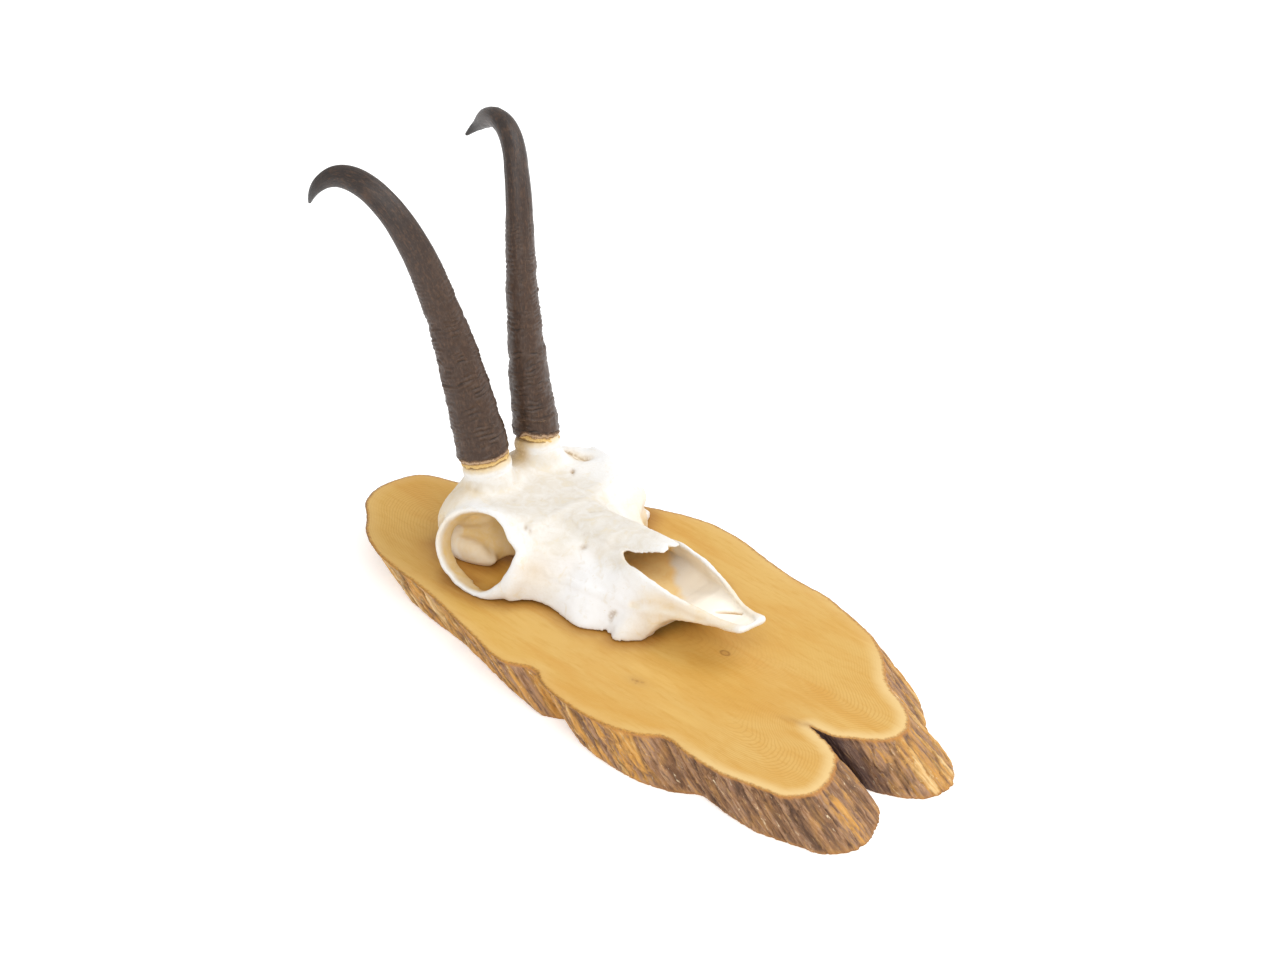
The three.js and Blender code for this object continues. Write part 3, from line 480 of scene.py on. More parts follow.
def horn_material():
    m = Nodes("dark_horn")
    along, ring, skin, turn = m.attr("along"), m.attr("ring"), m.attr("skin"), m.attr("turn")
    pos = m.combine(m.math("MULTIPLY", turn, 1.0), m.math("MULTIPLY", along, 0.045), 0.0)
    streak = m.noise(pos, 7.0, 4, 0.65, 0.25)
    hair = m.noise(m.combine(m.math("MULTIPLY", turn, 1.0), m.math("MULTIPLY", along, 0.02), 3.1), 26.0, 2, 0.6)
    cloud = m.noise(m.mm, 0.12, 3, 0.55)
    fine = m.noise(m.mm, 1.6, 3, 0.65)
    colour = m.mix(m.step(along, 60, 150), (0.049, 0.0245, 0.0138), (0.0300, 0.0215, 0.0185))
    colour = m.mix(m.step(streak, 0.47, 0.72, 0.0, 0.8), colour, (0.105, 0.056, 0.032))
    colour = m.mix(m.step(cloud, 0.5, 0.75, 0.0, 0.45), colour, (0.082, 0.050, 0.034))
    spots = m.noise(m.mm, 0.24, 4, 0.68, 0.8)
    flecks = m.noise(m.combine(m.math("MULTIPLY", turn, 1.0), m.math("MULTIPLY", along, 0.45), 5.3), 5.0, 4, 0.7, 0.4)
    colour = m.mix(m.step(spots, 0.55, 0.74, 0.0, 0.50), colour, (0.098, 0.050, 0.026))
    colour = m.mix(m.step(spots, 0.44, 0.28, 0.0, 0.60), colour, (0.020, 0.012, 0.009))
    colour = m.mix(m.step(ring, 0.15, 0.9, 0.0, 0.22), colour, (0.112, 0.070, 0.046))
    # painted highlights: golden flecks on the ring crests, strongest near the base
    colour = m.mix(m.math("MULTIPLY", m.math("MULTIPLY", m.step(flecks, 0.60, 0.70), m.step(ring, 0.0, 0.5)), m.step(along, 5, 26, 0.85, 0.10)), colour, (0.34, 0.205, 0.095))
    # painted shade: darker in the grooves between the rings
    colour = m.mix(m.step(ring, -0.1, -0.8, 0.0, 0.7), colour, (0.017, 0.011, 0.008))
    colour = m.mix(m.step(hair, 0.52, 0.75, 0.0, 0.35), colour, (0.105, 0.078, 0.060))
    colour = m.mix(m.step(along, 150, 172, 0.0, 0.80), colour, (0.017, 0.0145, 0.0140))
    # the fibrous edge where the sheath ends on the bone
    fibre = m.noise(m.combine(m.math("MULTIPLY", turn, 4.0), m.math("MULTIPLY", along, 0.45), 1.7), 2.0, 4, 0.7)
    layer = m.math("ADD", m.attr("fringe"), m.math("MULTIPLY", m.math("SUBTRACT", fibre, 0.5), 0.85))
    band = m.ramp(layer, [
        (0.02, (0.42, 0.245, 0.075)), (0.12, (0.70, 0.49, 0.20)), (0.30, (0.66, 0.44, 0.155)), (0.42, (0.50, 0.29, 0.095)), (0.49, (0.15, 0.075, 0.034)),
        (0.56, (0.44, 0.285, 0.165)), (0.68, (0.50, 0.345, 0.215)), (0.80, (0.24, 0.135, 0.070)), (0.93, (0.085, 0.046, 0.026)),
    ])
    band = m.mix(m.step(fibre, 0.58, 0.74, 0.0, 0.6), band, (0.76, 0.60, 0.36))
    band = m.mix(m.step(fibre, 0.42, 0.28, 0.0, 0.6), band, (0.17, 0.085, 0.036))
    colour = m.mix(skin, colour, band)
    rough = m.math("ADD", m.step(fine, 0.25, 0.75, 0.34, 0.50), m.math("MULTIPLY", skin, 0.2))
    height = m.math("ADD", m.math("MULTIPLY", hair, 0.5), m.math("MULTIPLY", fine, 0.35))
    height = m.math("ADD", height, m.math("MULTIPLY", streak, 0.6))
    normal = m.bump(height, 0.00022, 0.75)
    return m.finish(colour, rough, normal, Specular_IOR_Level=0.38)


def wood_material():
    m = Nodes("varnished_wood")
    ring, edge, front = m.attr("ring"), m.attr("edge"), m.attr("front")
    broad = m.noise(m.mm, 0.012, 3, 0.5)
    cloud = m.noise(m.mapping((0.018, 0.045, 0.03)), 1.0, 4, 0.55, 0.4)
    wobble = m.noise(m.mm, 0.05, 3, 0.5)
    grain = m.noise(m.mapping((0.10, 0.55, 0.3)), 1.0, 5, 0.65)
    fibre = m.noise(m.mapping((0.35, 2.2, 1.0)), 1.0, 3, 0.6)
    phase = m.math("ADD", m.math("MULTIPLY", ring, 1.0 / 0.90), m.math("ADD", m.math("MULTIPLY", wobble, 3.0), m.math("MULTIPLY", m.noise(m.mm, 0.16, 3, 0.5), 1.1)))
    wave = m.math("SINE", m.math("MULTIPLY", phase, 2 * math.pi))
    late = m.step(wave, 0.1, 0.98)
    band = m.noise(m.combine(m.math("MULTIPLY", ring, 0.16), m.math("MULTIPLY", wobble, 0.6), 0.4), 1.0, 3, 0.6)
    show = m.math("MULTIPLY", m.step(band, 0.30, 0.60, 0.35, 1.0), m.attr("show"))
    honey = m.mix(m.step(broad, 0.36, 0.66), (0.622, 0.372, 0.086), (0.640, 0.400, 0.112))
    honey = m.mix(m.step(cloud, 0.40, 0.72, 0.0, 0.85), honey, (0.590, 0.312, 0.055))
    honey = m.mix(m.step(grain, 0.46, 0.74, 0.0, 0.46), honey, (0.540, 0.278, 0.046))
    streak = m.noise(m.mapping((0.012, 0.11, 0.05), (0, 0, 0.30)), 1.0, 4, 0.6, 0.5)
    honey = m.mix(m.step(streak, 0.53, 0.72, 0.0, 0.50), honey, (0.570, 0.285, 0.044))
    honey = m.mix(m.step(streak, 0.46, 0.28, 0.0, 0.45), honey, (0.700, 0.455, 0.135))
    honey = m.mix(m.step(fibre, 0.5, 0.8, 0.0, 0.25), honey, (0.70, 0.46, 0.16))
    honey = m.mix(m.math("MULTIPLY", m.math("MULTIPLY", late, show), 0.36), honey, (0.47, 0.225, 0.038))
    # pale sapwood inside the bark, strongest round the front lobes
    sap = m.math("MULTIPLY", m.step(m.math("ADD", edge, m.math("MULTIPLY", grain, 1.6)), 2.6, 8.5, 1.0, 0.0), m.step(front, 0.0, 1.0, 0.20, 0.85))
    honey = m.mix(sap, honey, (0.735, 0.520, 0.225))
    # orange-brown line against the bark
    ragged = m.math("ADD", edge, m.math("MULTIPLY", m.math("SUBTRACT", m.noise(m.mm, 0.8, 4, 0.7), 0.5), 2.4))
    rim = m.step(m.math("SUBTRACT", ragged, m.math("MULTIPLY", m.math("SUBTRACT", 1.0, front), 0.30)), 0.25, 1.5, 1.0, 0.0)
    rim_colour = m.mix(m.step(m.noise(m.mm, 1.1, 3, 0.7), 0.4, 0.62), (0.50, 0.225, 0.034), (0.27, 0.115, 0.026))
    honey = m.mix(m.math("MULTIPLY", rim, 0.82), honey, rim_colour)
    # the dark pith mark, a small knot, and the seam that runs in from the cleft
    honey = m.mix(m.attr("mark"), honey, (0.30, 0.135, 0.032))
    # painted contact shadow round where the bone stands
    honey = m.mix(m.math("MULTIPLY", m.attr("seat"), m.step(grain, 0.3, 0.7, 0.72, 0.92)), honey, (0.38, 0.170, 0.030))
    rough = m.step(grain, 0.2, 0.8, 0.40, 0.50)
    height = m.math("ADD", m.math("MULTIPLY", grain, 0.5), m.math("ADD", m.math("MULTIPLY", fibre, 0.35), m.math("MULTIPLY", m.math("MULTIPLY", late, show), 0.2)))
    normal = m.bump(height, 0.00010, 0.5)
    return m.finish(honey, rough, normal, Specular_IOR_Level=0.35)


TRUNK = unit([SLAB_LEAN[0], SLAB_LEAN[1], -SLAB_THICK])  # the direction the trunk grew in, seen in the slab
TRUNK_A = unit(np.cross(TRUNK, [0, 1, 0]))
TRUNK_B = np.cross(TRUNK, TRUNK_A)


def trunk_vector(m, across, along):
    """Millimetre coordinates turned so that Z runs with the trunk, scaled for streaks along it."""
    parts = []
    for axis, scale in ((TRUNK_A, across), (TRUNK_B, across), (TRUNK, along)):
        n = m.tree.nodes.new("ShaderNodeVectorMath")
        n.operation = "DOT_PRODUCT"
        m.tree.links.new(m.mm, n.inputs[0])
        n.inputs[1].default_value = tuple(axis * scale)
        parts.append(n.outputs["Value"])
    return m.combine(*parts)


def bark_material():
    m = Nodes("rough_bark")
    height, plate, down, crack = m.attr("height"), m.attr("plate"), m.attr("down"), m.attr("crack")
    streak = m.noise(trunk_vector(m, 0.42, 0.060), 1.0, 5, 0.66, 0.6)
    patch = m.noise(trunk_vector(m, 0.12, 0.045), 1.0, 3, 0.55, 0.6)
    fibre = m.noise(trunk_vector(m, 1.0, 0.085), 1.0, 4, 0.72, 0.3)
    speck = m.noise(trunk_vector(m, 0.62, 0.17), 1.0, 4, 0.7, 0.9)
    tone = m.math("ADD", m.math("MULTIPLY", streak, 0.46), m.math("MULTIPLY", plate, 0.34))
    tone = m.math("ADD", tone, m.math("MULTIPLY", fibre, 0.20))
    colour = m.ramp(tone, [
        (0.28, (0.145, 0.070, 0.034)), (0.37, (0.290, 0.140, 0.056)), (0.43, (0.380, 0.215, 0.125)), (0.48, (0.480, 0.245, 0.080)),
        (0.54, (0.600, 0.285, 0.052)), (0.61, (0.630, 0.355, 0.108)), (0.72, (0.82, 0.585, 0.285)),
    ])
    colour = m.mix(m.step(patch, 0.55, 0.70, 0.0, 0.40), colour, (0.360, 0.215, 0.150))
    colour = m.mix(m.step(patch, 0.62, 0.76, 0.0, 0.50), colour, (0.225, 0.100, 0.088))
    colour = m.mix(m.step(patch, 0.46, 0.28, 0.0, 0.45), colour, (0.640, 0.310, 0.058))
    colour = m.mix(m.step(fibre, 0.54, 0.76, 0.0, 0.46), colour, (0.77, 0.485, 0.175))
    colour = m.mix(m.step(fibre, 0.44, 0.24, 0.0, 0.60), colour, (0.140, 0.070, 0.036))
    colour = m.mix(m.step(speck, 0.62, 0.71, 0.0, 0.85), colour, (0.86, 0.69, 0.44))
    # dark in the low fissures and cracks: the bark's own dark colour together with painted shade
    colour = m.mix(m.step(height, -0.2, -1.2, 0.0, 0.70), colour, (0.115, 0.058, 0.032))
    colour = m.mix(m.math("MULTIPLY", crack, m.step(speck, 0.40, 0.60, 0.70, 0.30)), colour, (0.085, 0.044, 0.026))
    colour = m.mix(m.step(down, 0.02, 0.085, 0.75, 0.0), colour, (0.48, 0.205, 0.040))
    colour = m.mix(m.math("MULTIPLY", m.step(down, 0.90, 1.0), 0.5), colour, (0.44, 0.19, 0.042))
    # darker in the cleft between the lobes: the bark's colour together with painted shade
    colour = m.mix(m.math("MULTIPLY", m.attr("cleft"), m.step(fibre, 0.44, 0.72, 0.96, 0.55)), colour, (0.075, 0.040, 0.036))
    rough = m.step(fibre, 0.25, 0.75, 0.62, 0.46)
    bumps = m.math("ADD", m.math("MULTIPLY", fibre, 0.7), m.math("MULTIPLY", speck, 0.5))
    normal = m.bump(bumps, 0.0008, 0.9)
    return m.finish(colour, rough, normal, Specular_IOR_Level=0.35)


def sawn_material():
    m = Nodes("sawn_underside")
    saw = m.noise(m.mapping((0.5, 0.02, 1.0), (0, 0, 0.35)), 1.0, 4, 0.6)
    cloud = m.noise(m.mm, 0.03, 3, 0.55)
    colour = m.mix(m.step(cloud, 0.35, 0.65), (0.52, 0.32, 0.13), (0.45, 0.26, 0.095))
    colour = m.mix(m.step(saw, 0.5, 0.75, 0.0, 0.4), colour, (0.36, 0.20, 0.075))
    normal = m.bump(saw, 0.0003, 0.6)
    return m.finish(colour, m.step(saw, 0.3, 0.7, 0.72, 0.82), normal, Specular_IOR_Level=0.3)


# ------------------------------------------------------------------------ slab


def outline_points(spacing=0.85):
    """The slab's top outline, starting in the cleft, evenly spaced."""
    start = np.roll(SLAB_OUTLINE, -NOTCH, axis=0)
    # open curve from the cleft round to the cleft again, so that the cleft stays sharp
    curve = catmull(np.vstack([start, start[:1]]), 24)
    step = np.linalg.norm(np.diff(curve, axis=0), axis=1)
    s = np.concatenate([[0], np.cumsum(step)])
    n = int(s[-1] / spacing)
    q = np.arange(n) * s[-1] / n
    pts = np.stack([np.interp(q, s, curve[:, k]) for k in (0, 1)], 1)
    return pts, q


def outward(pts):
    d = np.roll(pts, -1, axis=0) - np.roll(pts, 1, axis=0)
    d /= np.maximum(np.linalg.norm(d, axis=1, keepdims=True), 1e-9)
    n = np.stack([d[:, 1], -d[:, 0]], 1)
    area = 0.5 * np.sum(pts[:, 0] * np.roll(pts[:, 1], -1) - np.roll(pts[:, 0], -1) * pts[:, 1])
    return n if area > 0 else -n


def distance_to_outline(p, outline):
    a, b = outline, np.roll(outline, -1, axis=0)
    e = b - a
    out = np.full(len(p), 1e9)
    for k in range(0, len(p), 2000):
        q = p[k:k + 2000, None, :] - a[None]
        t = np.clip((q * e).sum(2) / np.maximum((e * e).sum(1), 1e-9), 0, 1)
        out[k:k + 2000] = np.sqrt(((q - t[..., None] * e) ** 2).sum(2)).min(1)
    return out


def inside_outline(p, outline):
    a, b = outline, np.roll(outline, -1, axis=0)
    hit = np.zeros(len(p), int)
    for k in range(0, len(p), 2000):
        x, y = p[k:k + 2000, 0:1], p[k:k + 2000, 1:2]
        straddle = (a[None, :, 1] <= y) != (b[None, :, 1] <= y)
        with np.errstate(divide="ignore", invalid="ignore"):
            cross = a[None, :, 0] + (y - a[None, :, 1]) * (b - a)[None, :, 0] / (b - a)[None, :, 1]
        hit[k:k + 2000] = (straddle & (cross > x)).sum(1)
    return hit % 2 == 1


def growth_rings(p, outline):
    """A smooth distance in from the bark; the slant of the cut stretches it along X."""
    stretch = np.array([1 / 1.5, 1.0])
    a = outline * stretch
    ds = np.linalg.norm(np.roll(a, -1, axis=0) - a, axis=1)
    out = np.zeros(len(p))
    for k in range(0, len(p), 2000):
        d2 = (((p[k:k + 2000, None, :] * stretch) - a[None]) ** 2).sum(2) + 0.25
        out[k:k + 2000] = (ds[None] * d2 ** -2.5).sum(1) ** -0.25
    return out * 1.075


def cell_random(cells, seed):
    """A number from 0 to 1 for each whole-numbered cell."""
    c = cells.astype(np.int64)
    h = (c[:, 0] * 374761393 + c[:, 1] * 668265263 + c[:, 2] * 2147483647 + seed * 1274126177) & 0xFFFFFFFF
    h = ((h ^ (h >> 13)) * 1274126177) & 0xFFFFFFFF
    h = ((h ^ (h >> 16)) * 668265263) & 0xFFFFFFFF
    return ((h >> 7) & 0xFFFFFF) / float(0x1000000)


def flakes(q, seed):
    """Irregular cells: the nearest cell's own number, and how close its border is."""
    base = np.floor(q)
    first, second, tone = np.full(len(q), 9.0), np.full(len(q), 9.0), np.zeros(len(q))
    for dx in (-1, 0, 1):
        for dy in (-1, 0, 1):
            for dz in (-1, 0, 1):
                cell = base + [dx, dy, dz]
                seat = cell + np.stack([cell_random(cell, seed + k) for k in range(3)], 1)
                d = np.linalg.norm(q - seat, axis=1)
                nearer = d < first
                second = np.where(nearer, first, np.minimum(second, d))
                tone = np.where(nearer, cell_random(cell, seed + 7), tone)
                first = np.minimum(first, d)
    return tone, second - first


def make_slab(standing):
    top, u = outline_points(0.68)
    n = len(top)
    normal = outward(top)
    rows = 46
    front = smooth(150, 215, top[:, 0])
    # slight raggedness of the edge itself
    edge_noise = 0.35 * line_noise(u / 3.1, 5) + 0.18 * line_noise(u / 1.1, 6)
    top = top + normal * (edge_noise * (0.5 + 0.8 * front) + 1.3 * smooth(-46, -58, top[:, 0]))[:, None]
    v = np.linspace(0, 1, rows) ** 0.92
    side = np.zeros((rows, n, 3))
    for r in range(rows):
        side[r, :, :2] = top + v[r] * SLAB_LEAN
        side[r, :, 2] = SLAB_TOP - v[r] * SLAB_THICK
    flat = side.reshape(-1, 3)
    q = np.stack([flat @ TRUNK_A, flat @ TRUNK_B, flat @ TRUNK], 1)
    vv = np.repeat(v, n)
    # bark: long plates and lamellae that run with the trunk, fissures between them
    warp = 0.9 * fbm(q / [9, 9, 16], 2, 3)
    qw = q + np.stack([warp * 1.6, warp * 1.6, np.zeros(len(q))], 1)
    plates = perlin(qw / [6.5, 6.5, 34], 11)
    fissure = 1 - np.abs(perlin(qw / [4.6, 4.6, 30], 23))
    fine = fbm(qw / [1.2, 1.2, 8], 2, 41)
    ragged = q + np.stack([0.8 * perlin(q / [3.0, 3.0, 12.0], 47), 0.8 * perlin(q / [3.0, 3.0, 12.0], 48), 5.0 * perlin(q / [2.5, 2.5, 9.0], 49)], 1)
    tone_a, rim_a = flakes(ragged / [4.6, 4.6, 38.0], 301)
    tone_b, rim_b = flakes(ragged / [2.3, 2.3, 19.0], 331)
    crack = np.maximum(smooth(0.15, 0.02, rim_a), 0.55 * smooth(0.12, 0.02, rim_b))
    height = 0.6 * plates - 0.7 * smooth(0.92, 0.995, fissure) + 0.95 * (tone_a - 0.5) + 0.55 * (tone_b - 0.5) - 0.55 * crack + 0.30 * fine
    chips = perlin(q / [5, 5, 7], 51)
    height -= 0.5 * smooth(0.22, 0.30, chips)
    grow = smooth(0.0, 0.14, vv)
    # how far the side flares out below the top edge
    near_flare = np.interp(top[:, 0], [-64, 15, 55, 62, 92, 104, 150, 205, 222, 240], [0.1, 0.1, 0.25, 0.0, 0.0, 0.9, 1.0, 1.2, 0.8, 0.4])
    far_flare = np.interp(top[:, 0], [-64, 120, 185, 200, 215, 232], [0.4, 0.4, 0.35, 0.6, 1.2, 1.0])
    flare = np.tile(np.where(top[:, 1] < -16, near_flare, far_flare), rows)
    belly = (0.2 + 0.7 * np.clip(flare, 0, 1)) * np.sin(np.pi * np.clip(vv, 0, 1)) + 2.8 * flare * vv ** 1.4 - 0.5 * smooth(0.93, 1.0, vv) - 0.2
    cleft = np.clip(1 - np.minimum(u, u[-1] - u) / 30.0, 0, 1)
    cleft = np.tile(smooth(0.12, 0.7, cleft), rows)
    amount = (0.12 + 0.88 * grow) * (1 - 0.6 * cleft) * (1 - 0.6 * smooth(0.82, 1.0, vv))
    push = amount * height + grow * belly * (1 - cleft)
    normals = np.tile(normal, (rows, 1))
    flat[:, :2] += normals * push[:, None]
    # the lower edge is worn round and a little uneven
    flat[:, 2] += smooth(0.93, 1.0, vv) * (0.35 + 0.35 * fbm(q / [4, 4, 4], 2, 61))
    flat[:, 2] = np.maximum(flat[:, 2], SLAB_TOP - SLAB_THICK)
    flat[-n:, 2] = SLAB_TOP - SLAB_THICK
    flat[:n, 2] -= 0.30
    side = flat.reshape(rows, n, 3)
    edge = side[0, :, :2].copy()

    # top face: the outline, a ring just inside it, then an even field
    ring_in = edge - outward(edge) * 1.1
    gx, gy = np.meshgrid(np.arange(-68, 242, 2.3), np.arange(-84, 72, 2.0))
    gx = gx + np.where((np.arange(gx.shape[0]) % 2)[:, None] == 1, 1.15, 0)
    field = np.stack([gx.ravel(), gy.ravel()], 1)
    jitter = np.stack([perlin(np.c_[field / 1.7, np.zeros(len(field))], 71), perlin(np.c_[field / 1.7, np.ones(len(field))], 72)], 1)
    field = field + 0.35 * jitter
    field = field[inside_outline(field, edge)]
    field = field[distance_to_outline(field, edge) > 2.0]
    ring_ok = inside_outline(ring_in, edge) & (distance_to_outline(ring_in, edge) > 0.95)
    ring_in = ring_in[ring_ok][::2]
    # extra points for the small marks
    marks = np.array([[136.97, -3.17], [126.95, -44.98]])
    extra = []
    for c in marks:
        for rad in (0.0, 0.5, 1.0, 1.5, 2.1, 2.8):
            k = max(1, int(rad * 10))
            a = np.arange(k) * 2 * np.pi / k
            extra.append(np.stack([c[0] + 1.5 * rad * np.cos(a), c[1] + rad * np.sin(a)], 1))
    extra = np.vstack(extra)
    near = np.min(np.linalg.norm((field[:, None] - marks[None]) / [1.5, 1.0], axis=2), axis=1)
    field = field[near > 3.2]
    pts2 = np.vstack([edge, ring_in, field, extra])
    loops = [(k, (k + 1) % n) for k in range(n)]
    verts, _, tris, orig, _, _ = delaunay_2d_cdt([Vector(p) for p in pts2], loops, [], 1, 1e-5)
    verts = np.array([list(p) for p in verts])
    where = np.full(len(verts), -1)
    for k, o in enumerate(orig):
        for idx in o:
            if idx < n:
                where[k] = idx
    d = distance_to_outline(verts, edge)
    rings = growth_rings(verts, edge)
    z = SLAB_TOP - 0.30 * smooth(1.0, 0.0, d)
    points = [side.reshape(-1, 3)]
    index = np.zeros(len(verts), int)
    inner = where < 0
    index[~inner] = where[~inner]
    index[inner] = rows * n + np.arange(inner.sum())
    points.append(np.c_[verts[inner], z[inner]])
    faces, material = [], []
    for t in tris:
        a, b, c = (int(index[k]) for k in t)
        pa, pb, pc = verts[t[0]], verts[t[1]], verts[t[2]]
        cross = (pb[0] - pa[0]) * (pc[1] - pa[1]) - (pb[1] - pa[1]) * (pc[0] - pa[0])
        faces.append((a, b, c) if cross > 0 else (a, c, b))
        material.append(0)
    area = 0.5 * np.sum(edge[:, 0] * np.roll(edge[:, 1], -1) - np.roll(edge[:, 0], -1) * edge[:, 1])
    k = np.arange(n)
    k2 = (k + 1) % n
    for r in range(rows - 1):
        a, b, c, e = r * n + k, r * n + k2, (r + 1) * n + k2, (r + 1) * n + k
        quad = np.stack([a, e, c, b], 1) if area > 0 else np.stack([a, b, c, e], 1)
        faces.extend(map(tuple, quad.tolist()))
        material.extend([1] * n)
    # sawn underside
    low = side[-1, :, :2]
    verts2, _, tris2, orig2, _, _ = delaunay_2d_cdt([Vector(p) for p in low], loops, [], 1, 1e-5)
    verts2 = np.array([list(p) for p in verts2])
    back = np.full(len(verts2), -1)
    for j, o in enumerate(orig2):
        for idx in o:
            back[j] = idx
    base = sum(len(p) for p in points)
    extra_low = back < 0
    idx2 = np.where(extra_low, 0, (rows - 1) * n + np.maximum(back, 0))
    idx2[extra_low] = base + np.arange(extra_low.sum())
    points.append(np.c_[verts2[extra_low], np.full(extra_low.sum(), SLAB_TOP - SLAB_THICK)])
    for t in tris2:
        a, b, c = (int(idx2[j]) for j in t)
        pa, pb, pc = verts2[t[0]], verts2[t[1]], verts2[t[2]]
        cross = (pb[0] - pa[0]) * (pc[1] - pa[1]) - (pb[1] - pa[1]) * (pc[0] - pa[0])
        faces.append((a, c, b) if cross > 0 else (a, b, c))
        material.append(2)
    points = np.vstack(points)
    total = len(points)
    obj = new_mesh("trophy_slab", points, faces, True, (WOOD, BARK, SAWN), material)

    def full(side_values, top_values):
        out = np.zeros(total)
        out[:rows * n] = side_values
        out[rows * n:rows * n + inner.sum()] = top_values[inner]
        return out

    ring_side = np.tile(rings[np.argsort(where)][-n:] if (where >= 0).sum() == n else np.zeros(n), rows)
    add_values(obj, "ring", full(ring_side, rings))
    add_values(obj, "edge", full(0.0, d))
    front_top = smooth(150, 215, verts[:, 0]) * smooth(-30, 10, verts[:, 0])
    add_values(obj, "front", full(np.tile(front, rows), front_top))
    mark = np.zeros(len(verts))
    q0 = np.linalg.norm((verts - marks[0]) / [1.5, 1.0], axis=1)
    mark = np.maximum(mark, 0.9 * np.exp(-((q0 - 1.35) / 0.38) ** 2))
    mark = np.maximum(mark, 0.55 * np.exp(-((q0 - 0.1) / 0.45) ** 2))
    q1 = np.linalg.norm((verts - marks[1]) / [1.7, 0.9], axis=1)
    mark = np.maximum(mark, 0.26 * np.exp(-(q1 / 3.0) ** 2))
    for ox, oy, rad, amount in ((0.0, 0.0, 1.0, 0.75), (2.2, 0.9, 0.8, 0.60), (-1.9, -0.5, 0.8, 0.60), (0.8, -1.5, 0.7, 0.5)):
        spot = np.linalg.norm((verts - marks[1] - [ox, oy]) / [1.3, 0.9], axis=1)
        mark = np.maximum(mark, amount * np.exp(-(spot / rad) ** 2))
    # seam from the cleft inwards
    a, b = np.array([200.8, -16.1]), np.array([183.0, -21.5])
    t = np.clip(((verts - a) @ (b - a)) / ((b - a) @ (b - a)), 0, 1)
    ds = np.linalg.norm(verts - (a + t[:, None] * (b - a)), axis=1)
    mark = np.maximum(mark, 0.55 * (1 - t) * np.exp(-(ds / 1.6) ** 2))
    add_values(obj, "mark", full(0.0, mark))
    # painted contact shadow: the wood is darker close to where the bone stands on it
    low = np.empty(len(standing.data.vertices) * 3)
    standing.data.vertices.foreach_get("co", low)
    low = low.reshape(-1, 3) * 1000 - SHIFT
    low = np.unique(np.round(low[low[:, 2] < -35.5, :2]), axis=0)
    gap = np.concatenate([np.sqrt(((part[:, None] - low[None]) ** 2).sum(2).min(1)) for part in np.array_split(verts, 40)])
    add_values(obj, "seat", full(0.0, np.exp(-(gap / 5.0) ** 2)))
    # where the growth rings show: at the tail end, round the pith and in the two lobes
    pith = np.exp(-(np.linalg.norm((verts - marks[0]) / [1.5, 1.0], axis=1) / 17) ** 2)
    show = np.maximum(np.maximum(smooth(2, -40, verts[:, 0]), smooth(160, 198, verts[:, 0])), 0.85 * pith)
    add_values(obj, "show", full(0.3, np.clip(0.22 + 0.78 * show, 0, 1)))
    add_values(obj, "height", full(amount * height, np.zeros(len(verts))))
    near_lobe = smooth(150, 190, flat[:, 0]) * smooth(2, -12, flat[:, 1])
    near_tail = smooth(60, 20, flat[:, 0])
    far_lobe = smooth(165, 195, flat[:, 0]) * smooth(-8, 6, flat[:, 1])
    plate_tone = np.clip(0.62 * tone_a + 0.38 * tone_b - 0.42 * near_lobe + 0.28 * near_tail + 0.10 * far_lobe, 0, 1)
    add_values(obj, "crack", full(crack * (1 - smooth(0.06, 0.0, vv)), np.zeros(len(verts))))
    add_values(obj, "plate", full(plate_tone, np.zeros(len(verts))))
    add_values(obj, "down", full(vv, np.zeros(len(verts))))
    add_values(obj, "cleft", full(cleft, np.zeros(len(verts))))
    return obj


# ----------------------------------------------------------------------- horns


def horn_axis():
    """Points along the horn's axis, 0.1 mm or so apart, and their distance from the base."""
    ctrl = HORN_CURVE
    inner = len(ctrl) - 3
    knots = np.array([0, 0, 0] + [i / inner for i in range(inner + 1)] + [1, 1, 1])
    t = np.linspace(0, 1 - 1e-6, 1600)
    basis = np.zeros((len(knots) - 1, len(t)))
    for i in range(len(knots) - 1):
        basis[i] = (t >= knots[i]) & (t < knots[i + 1])
    for p in range(1, 4):
        nxt = np.zeros((len(knots) - 1 - p, len(t)))
        for i in range(len(knots) - 1 - p):
            left, right = knots[i + p] - knots[i], knots[i + p + 1] - knots[i + 1]
            if left > 0:
                nxt[i] += (t - knots[i]) / left * basis[i]
            if right > 0:
                nxt[i] += (knots[i + p + 1] - t) / right * basis[i + 1]
        basis = nxt
    curve = basis.T @ ctrl
    curve = np.vstack([HORN_BASE + np.linspace(0, 1, 60, endpoint=False)[:, None] * (ctrl[0] - HORN_BASE), curve])
    s = np.concatenate([[0], np.cumsum(np.linalg.norm(np.diff(curve, axis=0), axis=1))])
    return curve, s


def horn_base_frame():
    along = unit(HORN_CURVE[0] - HORN_BASE)
    broad = unit(np.cross(along, HORN_FACING))
    return broad, along, np.cross(broad, along)


